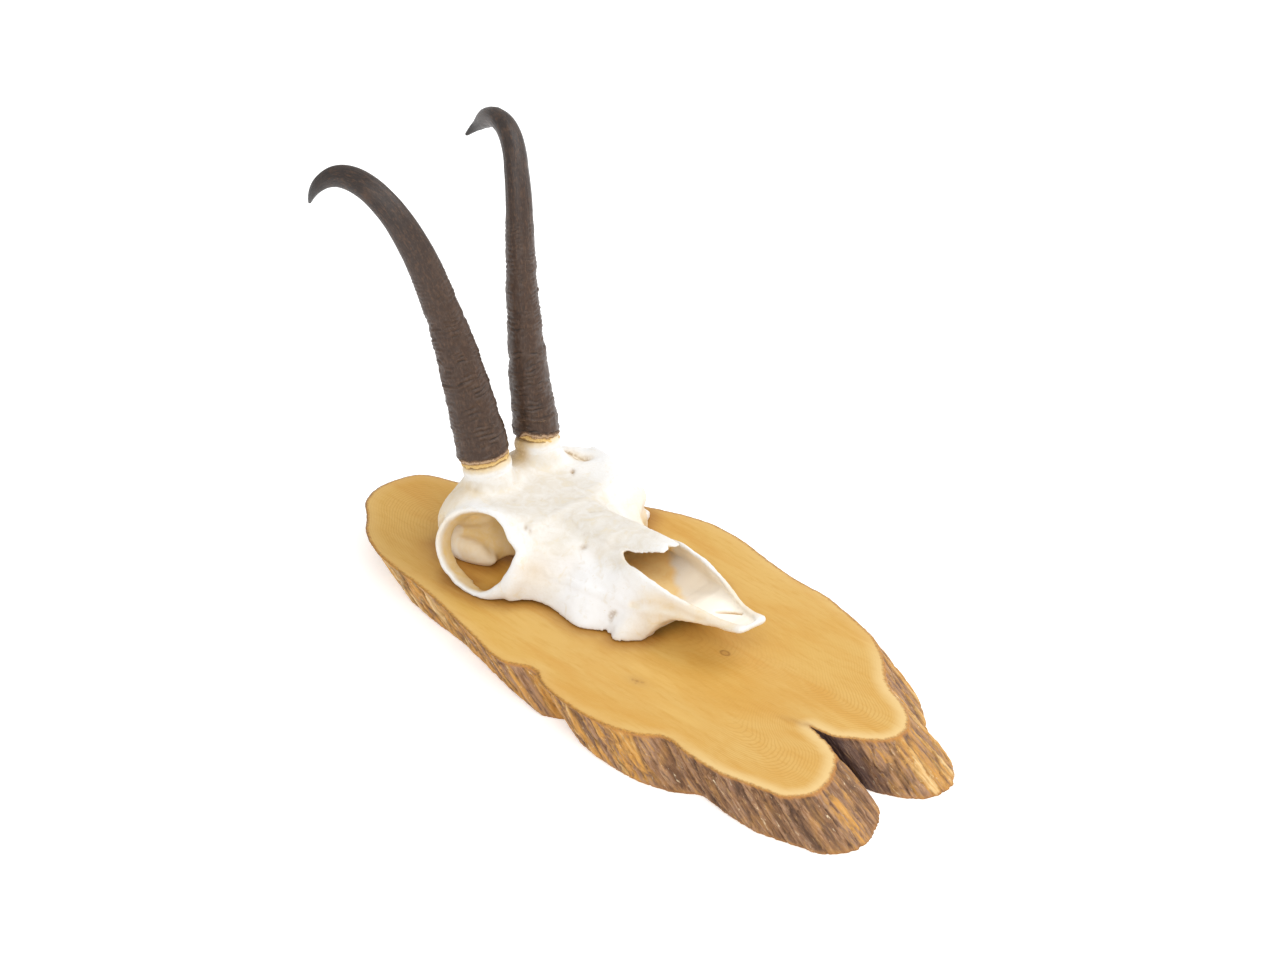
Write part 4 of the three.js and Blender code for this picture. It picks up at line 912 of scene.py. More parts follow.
def make_sheath(name, mirror, seed):
    curve, s = horn_axis()
    total = s[-1]
    steps, sides = 380, 104
    stations = np.concatenate([np.linspace(SHEATH_LOW, 7.5, 30, endpoint=False), np.linspace(7.5, total - 2, steps, endpoint=False), total - 2 * (1 - np.linspace(0, 1, 9))])
    at = lambda q: np.stack([np.interp(np.clip(q, 0, total), s, curve[:, k]) for k in range(3)], 1)
    centre = at(stations)
    along = at(stations + 1.5) - at(stations - 1.5)
    along /= np.linalg.norm(along, axis=1, keepdims=True)
    broad = np.cross(along, HORN_FACING)
    broad /= np.linalg.norm(broad, axis=1, keepdims=True)
    narrow = np.cross(broad, along)
    table = HORN_HALF_WIDTHS
    width = pchip(table[:, 0], table[:, 1:], stations * table[-1, 0] / total)
    if mirror:
        width = width * (1 - 0.05 * smooth(60, 0, stations) + 0.09 * smooth(152, 166, stations) * smooth(184, 176, stations))[:, None]
    m = len(stations)
    theta = np.arange(sides) * 2 * np.pi / sides
    S = np.repeat(stations, sides)
    T = np.tile(theta, m)
    circle = np.stack([np.cos(T), np.sin(T)], 1)
    # growth rings: uneven, wavy, strong on the lower half and gone before the hook
    wave = 1.5 * perlin(np.c_[circle * 0.9, S / 14.0], seed) + 0.85 * perlin(np.c_[circle * 2.8, S / 5.0], seed + 1)
    pos = S + wave
    spacing = 2.15 + 0.5 * line_noise(stations / 9.0, seed + 2)
    phase_line = np.cumsum(np.concatenate([[0], np.diff(stations) / (0.5 * (spacing[1:] + spacing[:-1]))]))
    phase = np.interp(pos, stations, phase_line)
    k = np.floor(phase)
    f = phase - k
    strength = 0.55 + 0.45 * line_noise(k * 0.73 + 0.2, seed + 3) * 1.6
    ring = (np.sin(np.pi * np.clip(f * 1.12, 0, 1)) ** 0.8 * 2 - 1) * np.clip(strength, 0.12, 1.2)
    coarse = perlin(np.c_[circle * 0.5, pos / 5.5], seed + 4)
    fade = 1 - smooth(62, 112, S)
    fade_far = 1 - smooth(95, 140, S)
    wear = np.clip(0.60 + 1.5 * perlin(np.c_[circle * 1.6, S / 6.0], seed + 5), 0, 1.5)
    knots = perlin(np.c_[circle * 2.4, pos / 2.2], seed + 12) + 0.5 * perlin(np.c_[circle * 4.5, pos / 1.4], seed + 13)
    relief = (0.42 * ring * wear + 0.62 * coarse + 0.30 * knots) * (0.10 * fade_far + 0.90 * fade)
    # lengthwise striation
    stria = perlin(np.c_[circle * 7.5, S / 38.0], seed + 6) + 0.6 * perlin(np.c_[circle * 15.0, S / 30.0], seed + 7)
    relief += 0.085 * stria * (0.7 + 0.5 * smooth(60, 120, S)) * (1 - smooth(total - 14, total, S))
    relief += 0.22 * fbm(np.c_[circle * 1.1, S / 16.0], 2, seed + 8) * (1 - smooth(total - 25, total - 8, S))
    # frayed lower edge: the horn ends unevenly over a thinner fibrous skin
    line = SHEATH_LOW + 4.2 + 0.9 * perlin(np.c_[circle * 1.2, np.zeros(len(S))], seed + 9) + 0.7 * perlin(np.c_[circle * 4.2, np.zeros(len(S))], seed + 10)
    outside = np.array([0.688, -0.726 if mirror else 0.726, 0])
    turned = np.stack([broad @ outside, narrow @ outside], 1)
    turned = np.repeat(turned / np.linalg.norm(turned, axis=1, keepdims=True), sides, axis=0)
    sideways = (circle * turned).sum(1)
    if mirror:  # the left sheath is tilted and covers the bone right down on one side
        line = SHEATH_LOW - 0.6 + (line - SHEATH_LOW + 0.6) * smooth(-0.85, -0.45, sideways)
    skin = 1 - smooth(-0.25, 0.25, S - line)
    relief -= 0.55 * skin
    height = np.clip((S - SHEATH_LOW) / np.maximum(line - SHEATH_LOW, 0.3), 0, 1)
    layer = smooth(0.40, 0.52, height + 0.20 * perlin(np.c_[circle * 2.2, np.ones(len(S))], seed + 14))
    relief += skin * (0.34 * layer - 0.12 + 0.42 * perlin(np.c_[circle * 3.6, S / 1.0], seed + 11))
    relief += (1 - skin) * 0.30 * np.exp(-((S - line) / 1.3) ** 2)
    lift = 0.75 * perlin(np.c_[circle * 3.1, np.zeros(len(S))], seed + 15) * smooth(SHEATH_LOW + 3.0, SHEATH_LOW, S)
    if mirror:
        lift = lift - (2.9 * sideways + 0.2) * smooth(SHEATH_LOW + 16.0, SHEATH_LOW, S)
    taper = smooth(total, total - 1.2, S) ** 0.5
    a, b = np.repeat(width[:, 0], sides), np.repeat(width[:, 1], sides)
    a, b = (a + relief) * taper, (b + relief) * taper
    C, Bv, Nv = (np.repeat(x, sides, axis=0) for x in (centre, broad, narrow))
    p = C + Bv * (a * np.cos(T))[:, None] + Nv * (b * np.sin(T))[:, None]
    p += np.repeat(along, sides, axis=0) * lift[:, None]
    if mirror:  # the left hook is a little flatter
        p[:, 2] -= 2.3 * smooth(100, 142, S) * (1 - 0.6 * smooth(162, 182, S))
        bend = pchip(HOOK_BEND[:, 0], HOOK_BEND[:, 1:], np.clip(S, HOOK_BEND[0, 0], HOOK_BEND[-1, 0]))
        p += np.stack([0.688 * bend[:, 0], -0.726 * bend[:, 0], bend[:, 1]], 1)
    # the socket for the bone core
    hb, ha, hn = horn_base_frame()
    depth = np.concatenate([np.linspace(SHEATH_LOW, 56.3, 26), [58, 59.5, 60.6]])
    radius = np.interp(depth, SHEATH_SOCKET[:, 1], SHEATH_SOCKET[:, 0])
    sock = np.vstack([
        HORN_BASE + ha * h + r * (np.cos(theta)[:, None] * hb + PEDICLE_FLAT * np.sin(theta)[:, None] * hn)
        for h, r in zip(depth, radius)
    ])
    tip = at(np.array([total]))[0] + along[-1] * 0.12
    bottom = HORN_BASE + ha * 61.0
    points = np.vstack([p, sock, tip[None], bottom[None]])
    i = np.arange(sides)
    j = (i + 1) % sides
    faces = []
    for r in range(m - 1):
        faces.append(np.stack([r * sides + i, r * sides + j, (r + 1) * sides + j, (r + 1) * sides + i], 1))
    o = m * sides
    faces.append(np.stack([o + i, o + j, j, i], 1))  # the flat rim under the sheath
    for r in range(len(depth) - 1):
        faces.append(np.stack([o + r * sides + j, o + r * sides + i, o + (r + 1) * sides + i, o + (r + 1) * sides + j], 1))
    quads = np.vstack(faces)
    last, lo = (m - 1) * sides, o + (len(depth) - 1) * sides
    tri = [(last + int(x), last + int(y), len(points) - 2) for x, y in zip(i, j)]
    tri += [(lo + int(y), lo + int(x), len(points) - 1) for x, y in zip(i, j)]
    # outward check on the body of the horn
    c0 = points[quads[50 * sides]]
    normal = np.cross(c0[2] - c0[0], c0[3] - c0[1])
    flip = np.dot(normal, c0.mean(0) - centre[50]) < 0
    if mirror:
        points = points * [1, -1, 1]
        flip = not flip
    all_faces = [tuple(q) for q in quads.tolist()] + tri
    if flip:
        all_faces = [tuple(reversed(q)) for q in all_faces]
    obj = new_mesh(name, points, all_faces, True, (HORN,))
    pad = len(points) - len(S)
    ext = lambda v, fill: np.concatenate([v, np.full(pad, fill)])
    add_values(obj, "along", ext(S, 0.0))
    add_values(obj, "ring", ext(np.clip((ring * wear + 0.5 * knots) * (0.15 * fade_far + 0.85 * fade), -1, 1), 0.0))
    add_values(obj, "skin", ext(skin, 1.0))
    add_values(obj, "fringe", ext(height, 0.0))
    add_values(obj, "turn", ext(2.0 * np.abs(((T / (2 * np.pi) + 0.37 + 0.11 * seed) % 1.0) - 0.5) * 3.0, 0.0))
    return obj


# ----------------------------------------------------------------------- skull

CELL = 0.85
GRID_LOW = np.array([-28.05, 0.0, -48.0])
GRID_SIZE = (222, 69, 130)  # the left half; mirrored afterwards


def smin(a, b, k):
    h = np.clip(0.5 + 0.5 * (b - a) / k, 0, 1)
    return b + (a - b) * h - k * h * (1 - h)


def smax(a, b, k):
    return -smin(-a, -b, k)


def section_distance(Y, Z, poly):
    a, b = poly[:-1].astype(np.float32), poly[1:].astype(np.float32)
    e = b - a
    py, pz = Y[:, None] - a[None, :, 0], Z[:, None] - a[None, :, 1]
    t = np.clip((py * e[:, 0] + pz * e[:, 1]) / np.maximum((e * e).sum(1), 1e-9), 0, 1)
    d = np.sqrt((((py - t * e[:, 0]) ** 2) + ((pz - t * e[:, 1]) ** 2)).min(1))
    straddle = (a[None, :, 1] <= Z[:, None]) != (b[None, :, 1] <= Z[:, None])
    ez = np.where(np.abs(e[:, 1]) < 1e-9, 1e-9, e[:, 1])
    cross = a[:, 0] + (Z[:, None] - a[:, 1]) * e[:, 0] / ez
    odd = (straddle & (cross > Y[:, None])).sum(1) % 2 == 1
    return np.where(odd, -d, d)


def to_level_set(values, width):
    """The true distance (in cells) to the zero surface of an array."""
    grid = vdb.FloatGrid(float(values.max()))
    grid.copyFromArray(values.astype(np.float32))
    pts, quads = grid.convertToQuads(0.0)
    level = vdb.FloatGrid.createLevelSetFromPolygons(pts, quads=quads, transform=vdb.createLinearTransform(1.0), halfWidth=float(width))
    out = np.full(values.shape, float(width), dtype=np.float32)
    level.copyToArray(out)
    return out


def rounded_path(points, P):
    """Distance to a chain of tapered round rods; points are [coords..., radius]."""
    best = None
    for a, b in zip(points[:-1], points[1:]):
        a, b = np.asarray(a, np.float32), np.asarray(b, np.float32)
        e = b[:-1] - a[:-1]
        rel = [P[k] - a[k] for k in range(len(e))]
        t = np.clip(sum(r * ek for r, ek in zip(rel, e)) / max(float((e * e).sum()), 1e-9), 0, 1)
        d = np.sqrt(sum((r - t * ek) ** 2 for r, ek in zip(rel, e))) - (a[-1] + t * (b[-1] - a[-1]))
        best = d if best is None else np.minimum(best, d)
    return best


def mirror_half(half):
    return np.concatenate([half[:, :0:-1], half], axis=1)


def make_skull():
    nx, ny, nz = GRID_SIZE
    x = (GRID_LOW[0] + CELL * np.arange(nx)).astype(np.float32)
    y = (CELL * np.arange(ny)).astype(np.float32)
    z = (GRID_LOW[2] + CELL * np.arange(nz)).astype(np.float32)

    # 1. the closed outer form, section by section
    stations = np.array([s[0] for s in SKULL_SECTIONS], float)
    outlines = np.array([s[1] for s in SKULL_SECTIONS], float)
    low = int(np.searchsorted(z, 6.0))
    YY, ZZ = np.meshgrid(y, z[:low], indexing="ij")
    Yf, Zf = YY.ravel(), ZZ.ravel()
    body = np.full((nx, ny, nz), 12.0, dtype=np.float32)
    for k in range(nx):
        if x[k] > stations[-1] + 3 or x[k] < stations[0] - 3:
            continue
        half = pchip(stations, outlines, x[k])[0]
        curve = catmull(half, 6)
        curve = np.vstack([curve, [[0, curve[-1, 1]]]])
        d = section_distance(Yf, Zf, curve).reshape(ny, low)
        beyond = max(x[k] - stations[-1], stations[0] - x[k], -50)
        body[k, :, :low] = np.maximum(d, beyond)
    full = mirror_half(body)
    sdf = to_level_set(full, 7.0)[:, ny - 1:] * CELL

    X, Y, Z = x[:, None, None], y[None, :, None], z[None, None, :]
    Yr = -Y  # the tables describe the right side

    # 2. pedicles and horn cores
    hb, ha, hn = horn_base_frame()
    rel = (X - HORN_BASE[0], Yr - HORN_BASE[1], Z - HORN_BASE[2])
    lb = sum(r * h for r, h in zip(rel, hb))
    la = sum(r * h for r, h in zip(rel, ha))
    ln = sum(r * h for r, h in zip(rel, hn)) / PEDICLE_FLAT
    radius = np.sqrt(lb * lb + ln * ln)
    core_r = np.interp(la.ravel(), PEDICLE[4:, 1], PEDICLE[4:, 0]).reshape(la.shape).astype(np.float32)
    foot_r = np.interp(la.ravel(), [-16, -9, -3.5, SHEATH_LOW], [13.2, 11.8, 10.6, 10.4]).reshape(la.shape).astype(np.float32)
    foot = smax(smax(radius - foot_r, la - SHEATH_LOW + 0.3, 0.8), -la - 16, 0.8)
    core = np.maximum(np.maximum(radius - core_r, la - 60), -la - 3)
    outer = smin(sdf, foot, 2.8)
    outer = np.minimum(outer, core)

    # 3. eye sockets: a ring of bone that looks out, forwards and up
    n = np.array([math.sin(SOCKET_FORWARD) * math.cos(SOCKET_UP), -math.cos(SOCKET_FORWARD) * math.cos(SOCKET_UP), math.sin(SOCKET_UP)])
    u = unit(np.cross(n, [0, 0, 1]))
    w = np.cross(u, n)
    rel = (X - SOCKET_CENTRE[0], Yr - SOCKET_CENTRE[1], Z - SOCKET_CENTRE[2])
    su, sn, sw = (sum(r * h for r, h in zip(rel, axis)) for axis in (u, n, w))
    rho = np.sqrt(su * su + sw * sw)
    angle = np.degrees(np.arctan2(sw, su)).ravel()
    fine_a = np.arange(-180, 180, 2.0)
    crest_r = np.interp(fine_a, SOCKET_CREST[:, 0], SOCKET_CREST[:, 1], period=360)
    crest_r = sum(np.roll(crest_r, k) * wt for k, wt in ((-1, 0.25), (0, 0.5), (1, 0.25)))
    crest_r += 0.10 * np.sin(np.radians(fine_a) * 9 + 0.6) + 0.08 * np.sin(np.radians(fine_a) * 17 + 2.0)
    crest = np.interp(angle, fine_a, crest_r, period=360).reshape(rho.shape).astype(np.float32)
    edge_r = np.interp(angle, SOCKET_EDGE[:, 0], SOCKET_EDGE[:, 1], period=360).reshape(rho.shape).astype(np.float32)
    rho_n = rho * (20.0 / crest)  # the crest lies at 20 all round
    more = edge_r - 1.0
    malar = rounded_path([(27, -49.6, -41.0, 1.8), (33, -48.2, -39.4, 2.2), (38.2, -45.4, -37.0, 2.8), (43, -41.8, -33.5, 3.6), (45.2, -39.2, -27.5, 3.4), (45.6, -37.4, -21.5, 2.4)],
                         (X + 0 * Y + 0 * Z, Yr + 0 * X + 0 * Z, Z + 0 * X + 0 * Y))
    outer = smin(outer, malar, 4.0)
    bore_r = np.interp(sn.ravel(), [-15, -8, -4, 0, 9], [15.0, 16.8, 17.1, 17.7, 18.6]).reshape(sn.shape).astype(np.float32)
    bore = smax(smax(rho_n + 2 * more - bore_r, -15.0 - sn, 4.0), sn - 9, 1.0)
    outer = smax(outer, -bore, 1.0)
    ring = rounded_path([(19.0, -1.0, 1.0), (18.9, -3.0, 1.3), (18.7, -5.4, 1.6), (18.1, -7.8, 1.2)], (rho_n + more, sn + more)) - more
    outer = smin(outer, ring, 2.0)
    orbit = (smooth(19.0, 17.2, rho_n) * smooth(0.5, -4.0, sn) * smooth(-45, -30, sn)).astype(np.float32)

    # the rounded swelling of the braincase, low in the socket
    ea, eb = (X - 8.0) * 0.93 - (Yr + 31.6) * -0.36, (X - 8.0) * 0.36 + (Yr + 31.6) * -0.93
    swell = np.sqrt((ea / 13.0) ** 2 + (eb / 4.2) ** 2 + ((Z + 35.2 + 0.12 * (X - 8.0)) / 6.0) ** 2)
    outer = smin(outer, (swell - 1) * 4.6, 2.6)
    swell = smooth(1.35, 1.0, swell).astype(np.float32)

    # 4. the hollow inside, open below
    wall = np.interp(x, [-26, 15, 40, 70, 100, 125, 150], [3.4, 3.0, 2.3, 2.1, 2.3, 2.1, 1.6]).astype(np.float32)[:, None, None]
    hollow = sdf + wall
    bone = smax(outer, -hollow, 0.6)
    # wall between brain and nose, and the palate
    mid = smax(sdf + 0.3, np.abs(X - 40 - 0.12 * (Z + 25)) - 1.1, 0.8)
    bone = smin(bone, mid, 2.0)
    zp = np.interp(x, [56, 70, 100, 106, 110, 118, 127, 140], [-33, -31.5, -30.5, -29.6, -28.3, -25.0, -23.4, -22]).astype(np.float32)[:, None, None]
    palate = smax(smax(sdf + 0.3, np.abs(Z - zp - 0.010 * Y * Y) - 0.9, 0.6), 56 - X, 0.6)
    bone = smin(bone, palate + 0 * Y, 2.2)

    under = smax(smax(np.abs(Y) - 15.5, Z - zp + 1.8, 1.0), smax(80 - X, X - 108.5, 1.0), 1.0)
    bone = smax(bone, -under, 1.0)

    # 5. nose opening, then the nasal bones that overhang it
    ow = pchip(NOSE_OPENING[:, 0], NOSE_OPENING[:, 1:], x).astype(np.float32)
    jag = 0.35 * line_noise(x / 3.0, 91) + 0.2 * line_noise(x / 1.2, 92)
    half_w = (ow[:, 0] + jag)[:, None, None]
    cut = smax(smax(np.abs(Y) - half_w, ow[:, 1][:, None, None] - Z, 2.0), 79.5 - X, 1.0)
    cut = smax(cut, X - 149.2, 0.8)
    bone = smax(bone, -(cut + 0 * Z), 1.3)
    nb = pchip(NASAL_BONES[:, 0], NASAL_BONES[:, 1:], x).astype(np.float32)
    nw, nr, nd, nt = (nb[:, k][:, None, None] for k in range(4))
    nw = nw + (0.3 * line_noise(x / 2.2, 95))[:, None, None]
    top = nr - nd * (Y / nw) ** 2 - 0.55 * np.exp(-(Y / 0.8) ** 2)
    tip_x = 101.0 - 2.4 * np.exp(-(Y / 1.6) ** 2) - 0.34 * np.maximum(Y - 4.4, 0) ** 2 + 0.9 * line_noise(y / 1.2, 97)[None, :, None]
    plate = smax(smax(np.abs(Z - top + nt / 2) - nt / 2, np.abs(Y) - nw, 0.9), smax(X - tip_x, 72 - X, 0.5), 0.9)
    bone = smin(bone, plate + 0 * Z, 1.2)

    # 6. lengthwise groove along the side of the snout, the crescent-shaped foramen and the
    # crease below it, slits in the palate
    XYZ = (X + 0 * Y + 0 * Z, Yr + 0 * X + 0 * Z, Z + 0 * X + 0 * Y)
    groove = rounded_path(SNOUT_GROOVE, XYZ)
    bone = smax(bone, -groove, 1.6)
    crease = rounded_path([tuple(c) for c in FORAMEN], XYZ)
    bone = smax(bone, -crease, 0.7)
    # 7. sawn edges: behind the horns at a slant, flat but chipped underneath
    bone = smax(bone, (REAR_CUT_X - REAR_CUT_SLOPE * Z - X) * 0.976 + 0 * Y, 0.5)
    half = bone.astype(np.float32)

    both = mirror_half(half)
    Yfull = (CELL * np.arange(-(ny - 1), ny)).astype(np.float32)[None, :, None]
    zc = np.interp(x, [-30, 30, 37, 43, 49, 55, 60, 68, 90, 97, 104, 110], [-39.1, -39.1, -38.9, -38.3, -38.0, -38.2, -38.6, -39.0, -39.0, -39.1, -38.9, -39.1])
    XY = np.stack(np.broadcast_arrays(X[:, :, 0], Yfull[:, :, 0]), -1).reshape(-1, 2)
    chip = fbm(np.c_[XY / 3.4, np.zeros(len(XY))], 2, 101).reshape(nx, -1)
    rough = np.interp(x, [0, 45, 60, 108], [0.05, 0.25, 1.0, 1.0])[:, None]
    floor = np.maximum(zc[:, None] + rough * np.maximum(chip - 0.08, 0) * 1.7, -39.1).astype(np.float32)
    gap = smooth(16.5, 19.5, X[:, :, 0]) * smooth(34, 30, X[:, :, 0]) * smooth(30, 27, np.abs(Yfull[:, :, 0]))
    floor = floor + (2.3 * gap).astype(np.float32)
    both = smax(both, floor[:, :, None] - Z, 0.3)
    # a curved slit in the palate
    XYZ = tuple(np.broadcast_arrays(X[180:], Yfull, 0 * Z + 0 * X[180:]))
    slit = rounded_path([(129.5, -1.9, 0, 0.45), (132.0, 1.2, 0, 0.85), (135.3, 4.0, 0, 0.85), (138.6, 5.3, 0, 0.4)], XYZ)
    slit = smax(slit, np.abs(Z + 23.5) - 3.2, 0.4)
    both[180:] = smax(both[180:], -slit, 0.4)

    # 8. surface
    grid = vdb.FloatGrid(6.0)
    grid.copyFromArray(np.clip(both, -6, 6).astype(np.float32))
    pts, quads = grid.convertToQuads(0.0)
    pts, quads = np.asarray(pts, float), np.asarray(quads, np.int64)
    label = np.arange(len(pts))
    while True:  # keep only the one connected body
        low_label = label[quads].min(1)
        new = label.copy()
        for c in range(4):
            np.minimum.at(new, quads[:, c], low_label)
        new = new[new]
        if np.array_equal(new, label):
            break
        label = new
    names, counts = np.unique(label, return_counts=True)
    keep = label == names[counts.argmax()]
    number = np.cumsum(keep) - 1
    quads = number[quads[keep[quads[:, 0]]]]
    idx = pts[keep]

    def sample(array, p):
        p = np.clip(p, 0, np.array(array.shape) - 1.001)
        i = p.astype(int)
        f = p - i
        out = 0
        for a in (0, 1):
            for b in (0, 1):
                for c in (0, 1):
                    wgt = (f[:, 0] if a else 1 - f[:, 0]) * (f[:, 1] if b else 1 - f[:, 1]) * (f[:, 2] if c else 1 - f[:, 2])
                    out = out + wgt * array[i[:, 0] + a, i[:, 1] + b, i[:, 2] + c]
        return out

    origin = np.array([GRID_LOW[0], -CELL * (ny - 1), GRID_LOW[2]])
    P = idx * CELL + origin
    N = vertex_normals(P, quads)
    probe = sample(both, idx + N * 1.2) - sample(both, idx - N * 1.2)
    if probe.mean() < 0:
        quads = quads[:, ::-1].copy()
        N = -N

    # 9. how enclosed each point is, whether it lies on the inside, where the socket is
    occlusion = np.zeros(len(P))
    for r, weight in ((2.0, 0.3), (4.0, 0.4), (6.0, 0.3)):
        occlusion += weight * np.clip(1 - sample(both, idx + N * r / CELL) / r, 0, 1.6)
    wall_v = np.interp(P[:, 0], x, wall[:, 0, 0])
    sdf_full = mirror_half(sdf)
    depth = -sample(sdf_full, idx)
    inner = smooth(0.35, 0.85, depth / wall_v)
    orbit_v = sample(mirror_half(orbit), idx)
    swell_v = sample(mirror_half(swell), idx)

    # 10. surface detail: sutures, pits, unevenness
    roof = smooth(0.15, 0.5, N[:, 2]) * (1 - inner)
    cheek = smooth(0.25, 0.6, np.abs(N[:, 1])) * (1 - inner)

    def polyline(px, py, points):
        best = np.full(len(px), 1e9)
        for (ax, ay), (bx, by) in zip(points[:-1], points[1:]):
            ex, ey = bx - ax, by - ay
            t = np.clip(((px - ax) * ex + (py - ay) * ey) / (ex * ex + ey * ey), 0, 1)
            best = np.minimum(best, np.hypot(px - ax - t * ex, py - ay - t * ey))
        return best

    jx = 0.9 * perlin(P / 2.3, 111) + 1.0 * perlin(P / 6.0, 113)
    jy = 0.9 * perlin(P / 2.3, 112) + 1.0 * perlin(P / 6.0, 114)
    sx, sy, sz = P[:, 0] + jx, P[:, 1] + jy, P[:, 2] + jy
    ay = np.abs(sy)
    groove_mask = np.zeros(len(P))
    for points, mask, depth_mm in (
        ([(-6, 0), (20, 0.3), (50, -0.2), (100, 0)], roof, 0.10),
        ([(47, 0), (45.5, 5), (49, 10), (57, 12.6), (66, 12.4), (74, 11.2), (80.5, 10.2)], roof, 0.20),
        ([(49, 10), (46, 19), (44.5, 27), (44, 34)], roof, 0.10),
    ):
        dist = polyline(sx, ay if points[0][1] >= 0 else sy, points)
        groove_mask = np.maximum(groove_mask, depth_mm * mask * np.exp(-(dist / 0.6) ** 2))
    for points, depth_mm in (
        ([(50, -12), (55, -18), (59, -25), (61, -31), (57, -38)], 0.10),
        ([(84, -13.5), (94, -18), (102, -23), (107, -28), (109, -33)], 0.14),
    ):
        dist = polyline(sx, sz, points)
        groove_mask = np.maximum(groove_mask, depth_mm * cheek * np.exp(-(dist / 0.6) ** 2))
    broken = 0.45 + 0.75 * smooth(-0.15, 0.3, perlin(P / 7.0, 117))
    groove_mask *= broken
    pits = np.zeros(len(P))
    for cx, cy, r1, r2, amount in (
        (20.1, 17.3, 1.7, 0.85, 1.7), (22.4, 15.6, 1.5, 0.7, 0.4), (21.5, -18.2, 1.3, 1.0, 0.35), (40.6, -28.9, 1.4, 0.8, 0.9),
        (43.0, -28.6, 1.2, 0.7, 0.7), (64.2, -17.0, 0.8, 1.6, 0.95), (60.8, -13.2, 0.6, 1.3, 0.35), (5.8, -26.4, 1.1, 1.0, 0.3),
        (52.5, -1.5, 0.6, 1.7, 0.5), (55.0, 1.0, 0.5, 1.2, 0.3), (33, 6, 0.8, 1.0, 0.2), (66, 5, 0.6, 1.2, 0.2), (30, -6, 0.8, 0.8, 0.2),
    ):
        e1 = ((P[:, 0] - cx) - (P[:, 1] - cy)) / math.sqrt(2)
        e2 = ((P[:, 0] - cx) + (P[:, 1] - cy)) / math.sqrt(2)
        pits = np.maximum(pits, amount * np.exp(-((e1 / r1) ** 2 + (e2 / r2) ** 2)) * roof)
    # the furrow between horn and brow; on the left it holds dark streaks of dirt
    furrow = polyline(P[:, 0] + 0.4 * jx, np.abs(P[:, 1] + 0.4 * jy), [(-2, 27), (4, 27.2), (9, 27.3), (13, 26.6), (17, 27.8), (21, 30)])
    dip = np.exp(-(furrow / 2.1) ** 2) * roof * smooth(-6, 3, P[:, 0]) * smooth(23, 16, P[:, 0])
    dirt_x = smooth(2, 8, P[:, 0]) * smooth(21, 16, P[:, 0]) * (P[:, 1] > 0)
    strands = perlin(np.c_[furrow * 1.7, P[:, 0] / 5.0, P[:, 0] * 0], 119) + 0.4 * perlin(P / [2.5, 1.2, 2.0], 118)
    dirt = dirt_x * np.exp(-(furrow / 1.9) ** 2) * smooth(-0.30, 0.35, strands) * roof
    uneven = 0.42 * fbm(P / 15.0, 2, 121) + 0.20 * fbm(P / 5.0, 2, 131) + 0.07 * perlin(P / 1.7, 141)
    uneven = uneven * (1 - 0.3 * inner)
    seat = smooth(-38.6, -36.5, P[:, 2])  # nothing moves on the sawn edge
    core_skip = np.where(P[:, 2] > 1.5, 0.0, 1.0)
    shift = (uneven - 0.42 * groove_mask - 0.85 * pits - (0.9 + 0.7 * (P[:, 1] > 0)) * dip) * (0.25 + 0.75 * seat) * core_skip
    P = P + N * shift[:, None]
    skew = np.stack([0.5 * perlin(P / 38.0, 151), 0.6 * perlin(P / 38.0, 152), 0.45 * perlin(P / 38.0, 153)], 1)
    P = P + skew * (seat * core_skip * smooth(0.5, -6.0, P[:, 2]))[:, None]
    # the left brow sits a little lower than the right one
    drop = 2.0 * smooth(8, 34, P[:, 1]) * smooth(-16, 0, P[:, 0]) * smooth(46, 30, P[:, 0]) * smooth(-36, -22, P[:, 2]) * core_skip
    P[:, 2] = np.maximum(P[:, 2] - drop, -39.15)
    # its face falls away faster beside the nose
    fall = 10.0 * smooth(36, 58, P[:, 0]) * smooth(92, 60, P[:, 0]) * smooth(-38, -12, P[:, 2])
    fall *= smooth(3.5, 15, P[:, 1]) * smooth(37, 29, P[:, 1]) + 0.35 * smooth(8, 17, -P[:, 1]) * smooth(37, 27, -P[:, 1])
    P[:, 2] -= fall
    # and its cheek is narrower
    tuck = 6.0 * smooth(22, 38, P[:, 1]) * smooth(34, 43, P[:, 0]) * smooth(68, 56, P[:, 0]) * smooth(-15, -24, P[:, 2])
    P[:, 1] -= tuck

    obj = new_mesh("trophy_skull", P, quads, True, (BONE,))
    # deep in the nose and inside the braincase: the bone's brown staining together with painted shade
    deep_nose = smooth(111, 104, P[:, 0] + 1.4 * P[:, 1] + 3.0 * perlin(P / 7.0, 161)) * smooth(46, 60, P[:, 0])
    inner_tint = inner * np.clip(0.10 + 0.85 * deep_nose + smooth(50, 30, P[:, 0]), 0, 0.92)
    # painted shade: how enclosed each point is, for the yellow darkening of the hollows
    cavity_shade = np.clip((occlusion - 0.18) * 1.35, 0, 1)
    upper = 1 - 0.52 * swell_v  # the swelling low in the socket catches the light, so it gets less of the painted shade
    # painted shade inside the socket and the braincase behind it
    stain_and_shade = np.clip(1.25 * orbit_v * upper + 0.4 * inner * smooth(50, 36, P[:, 0]), 0, 1)
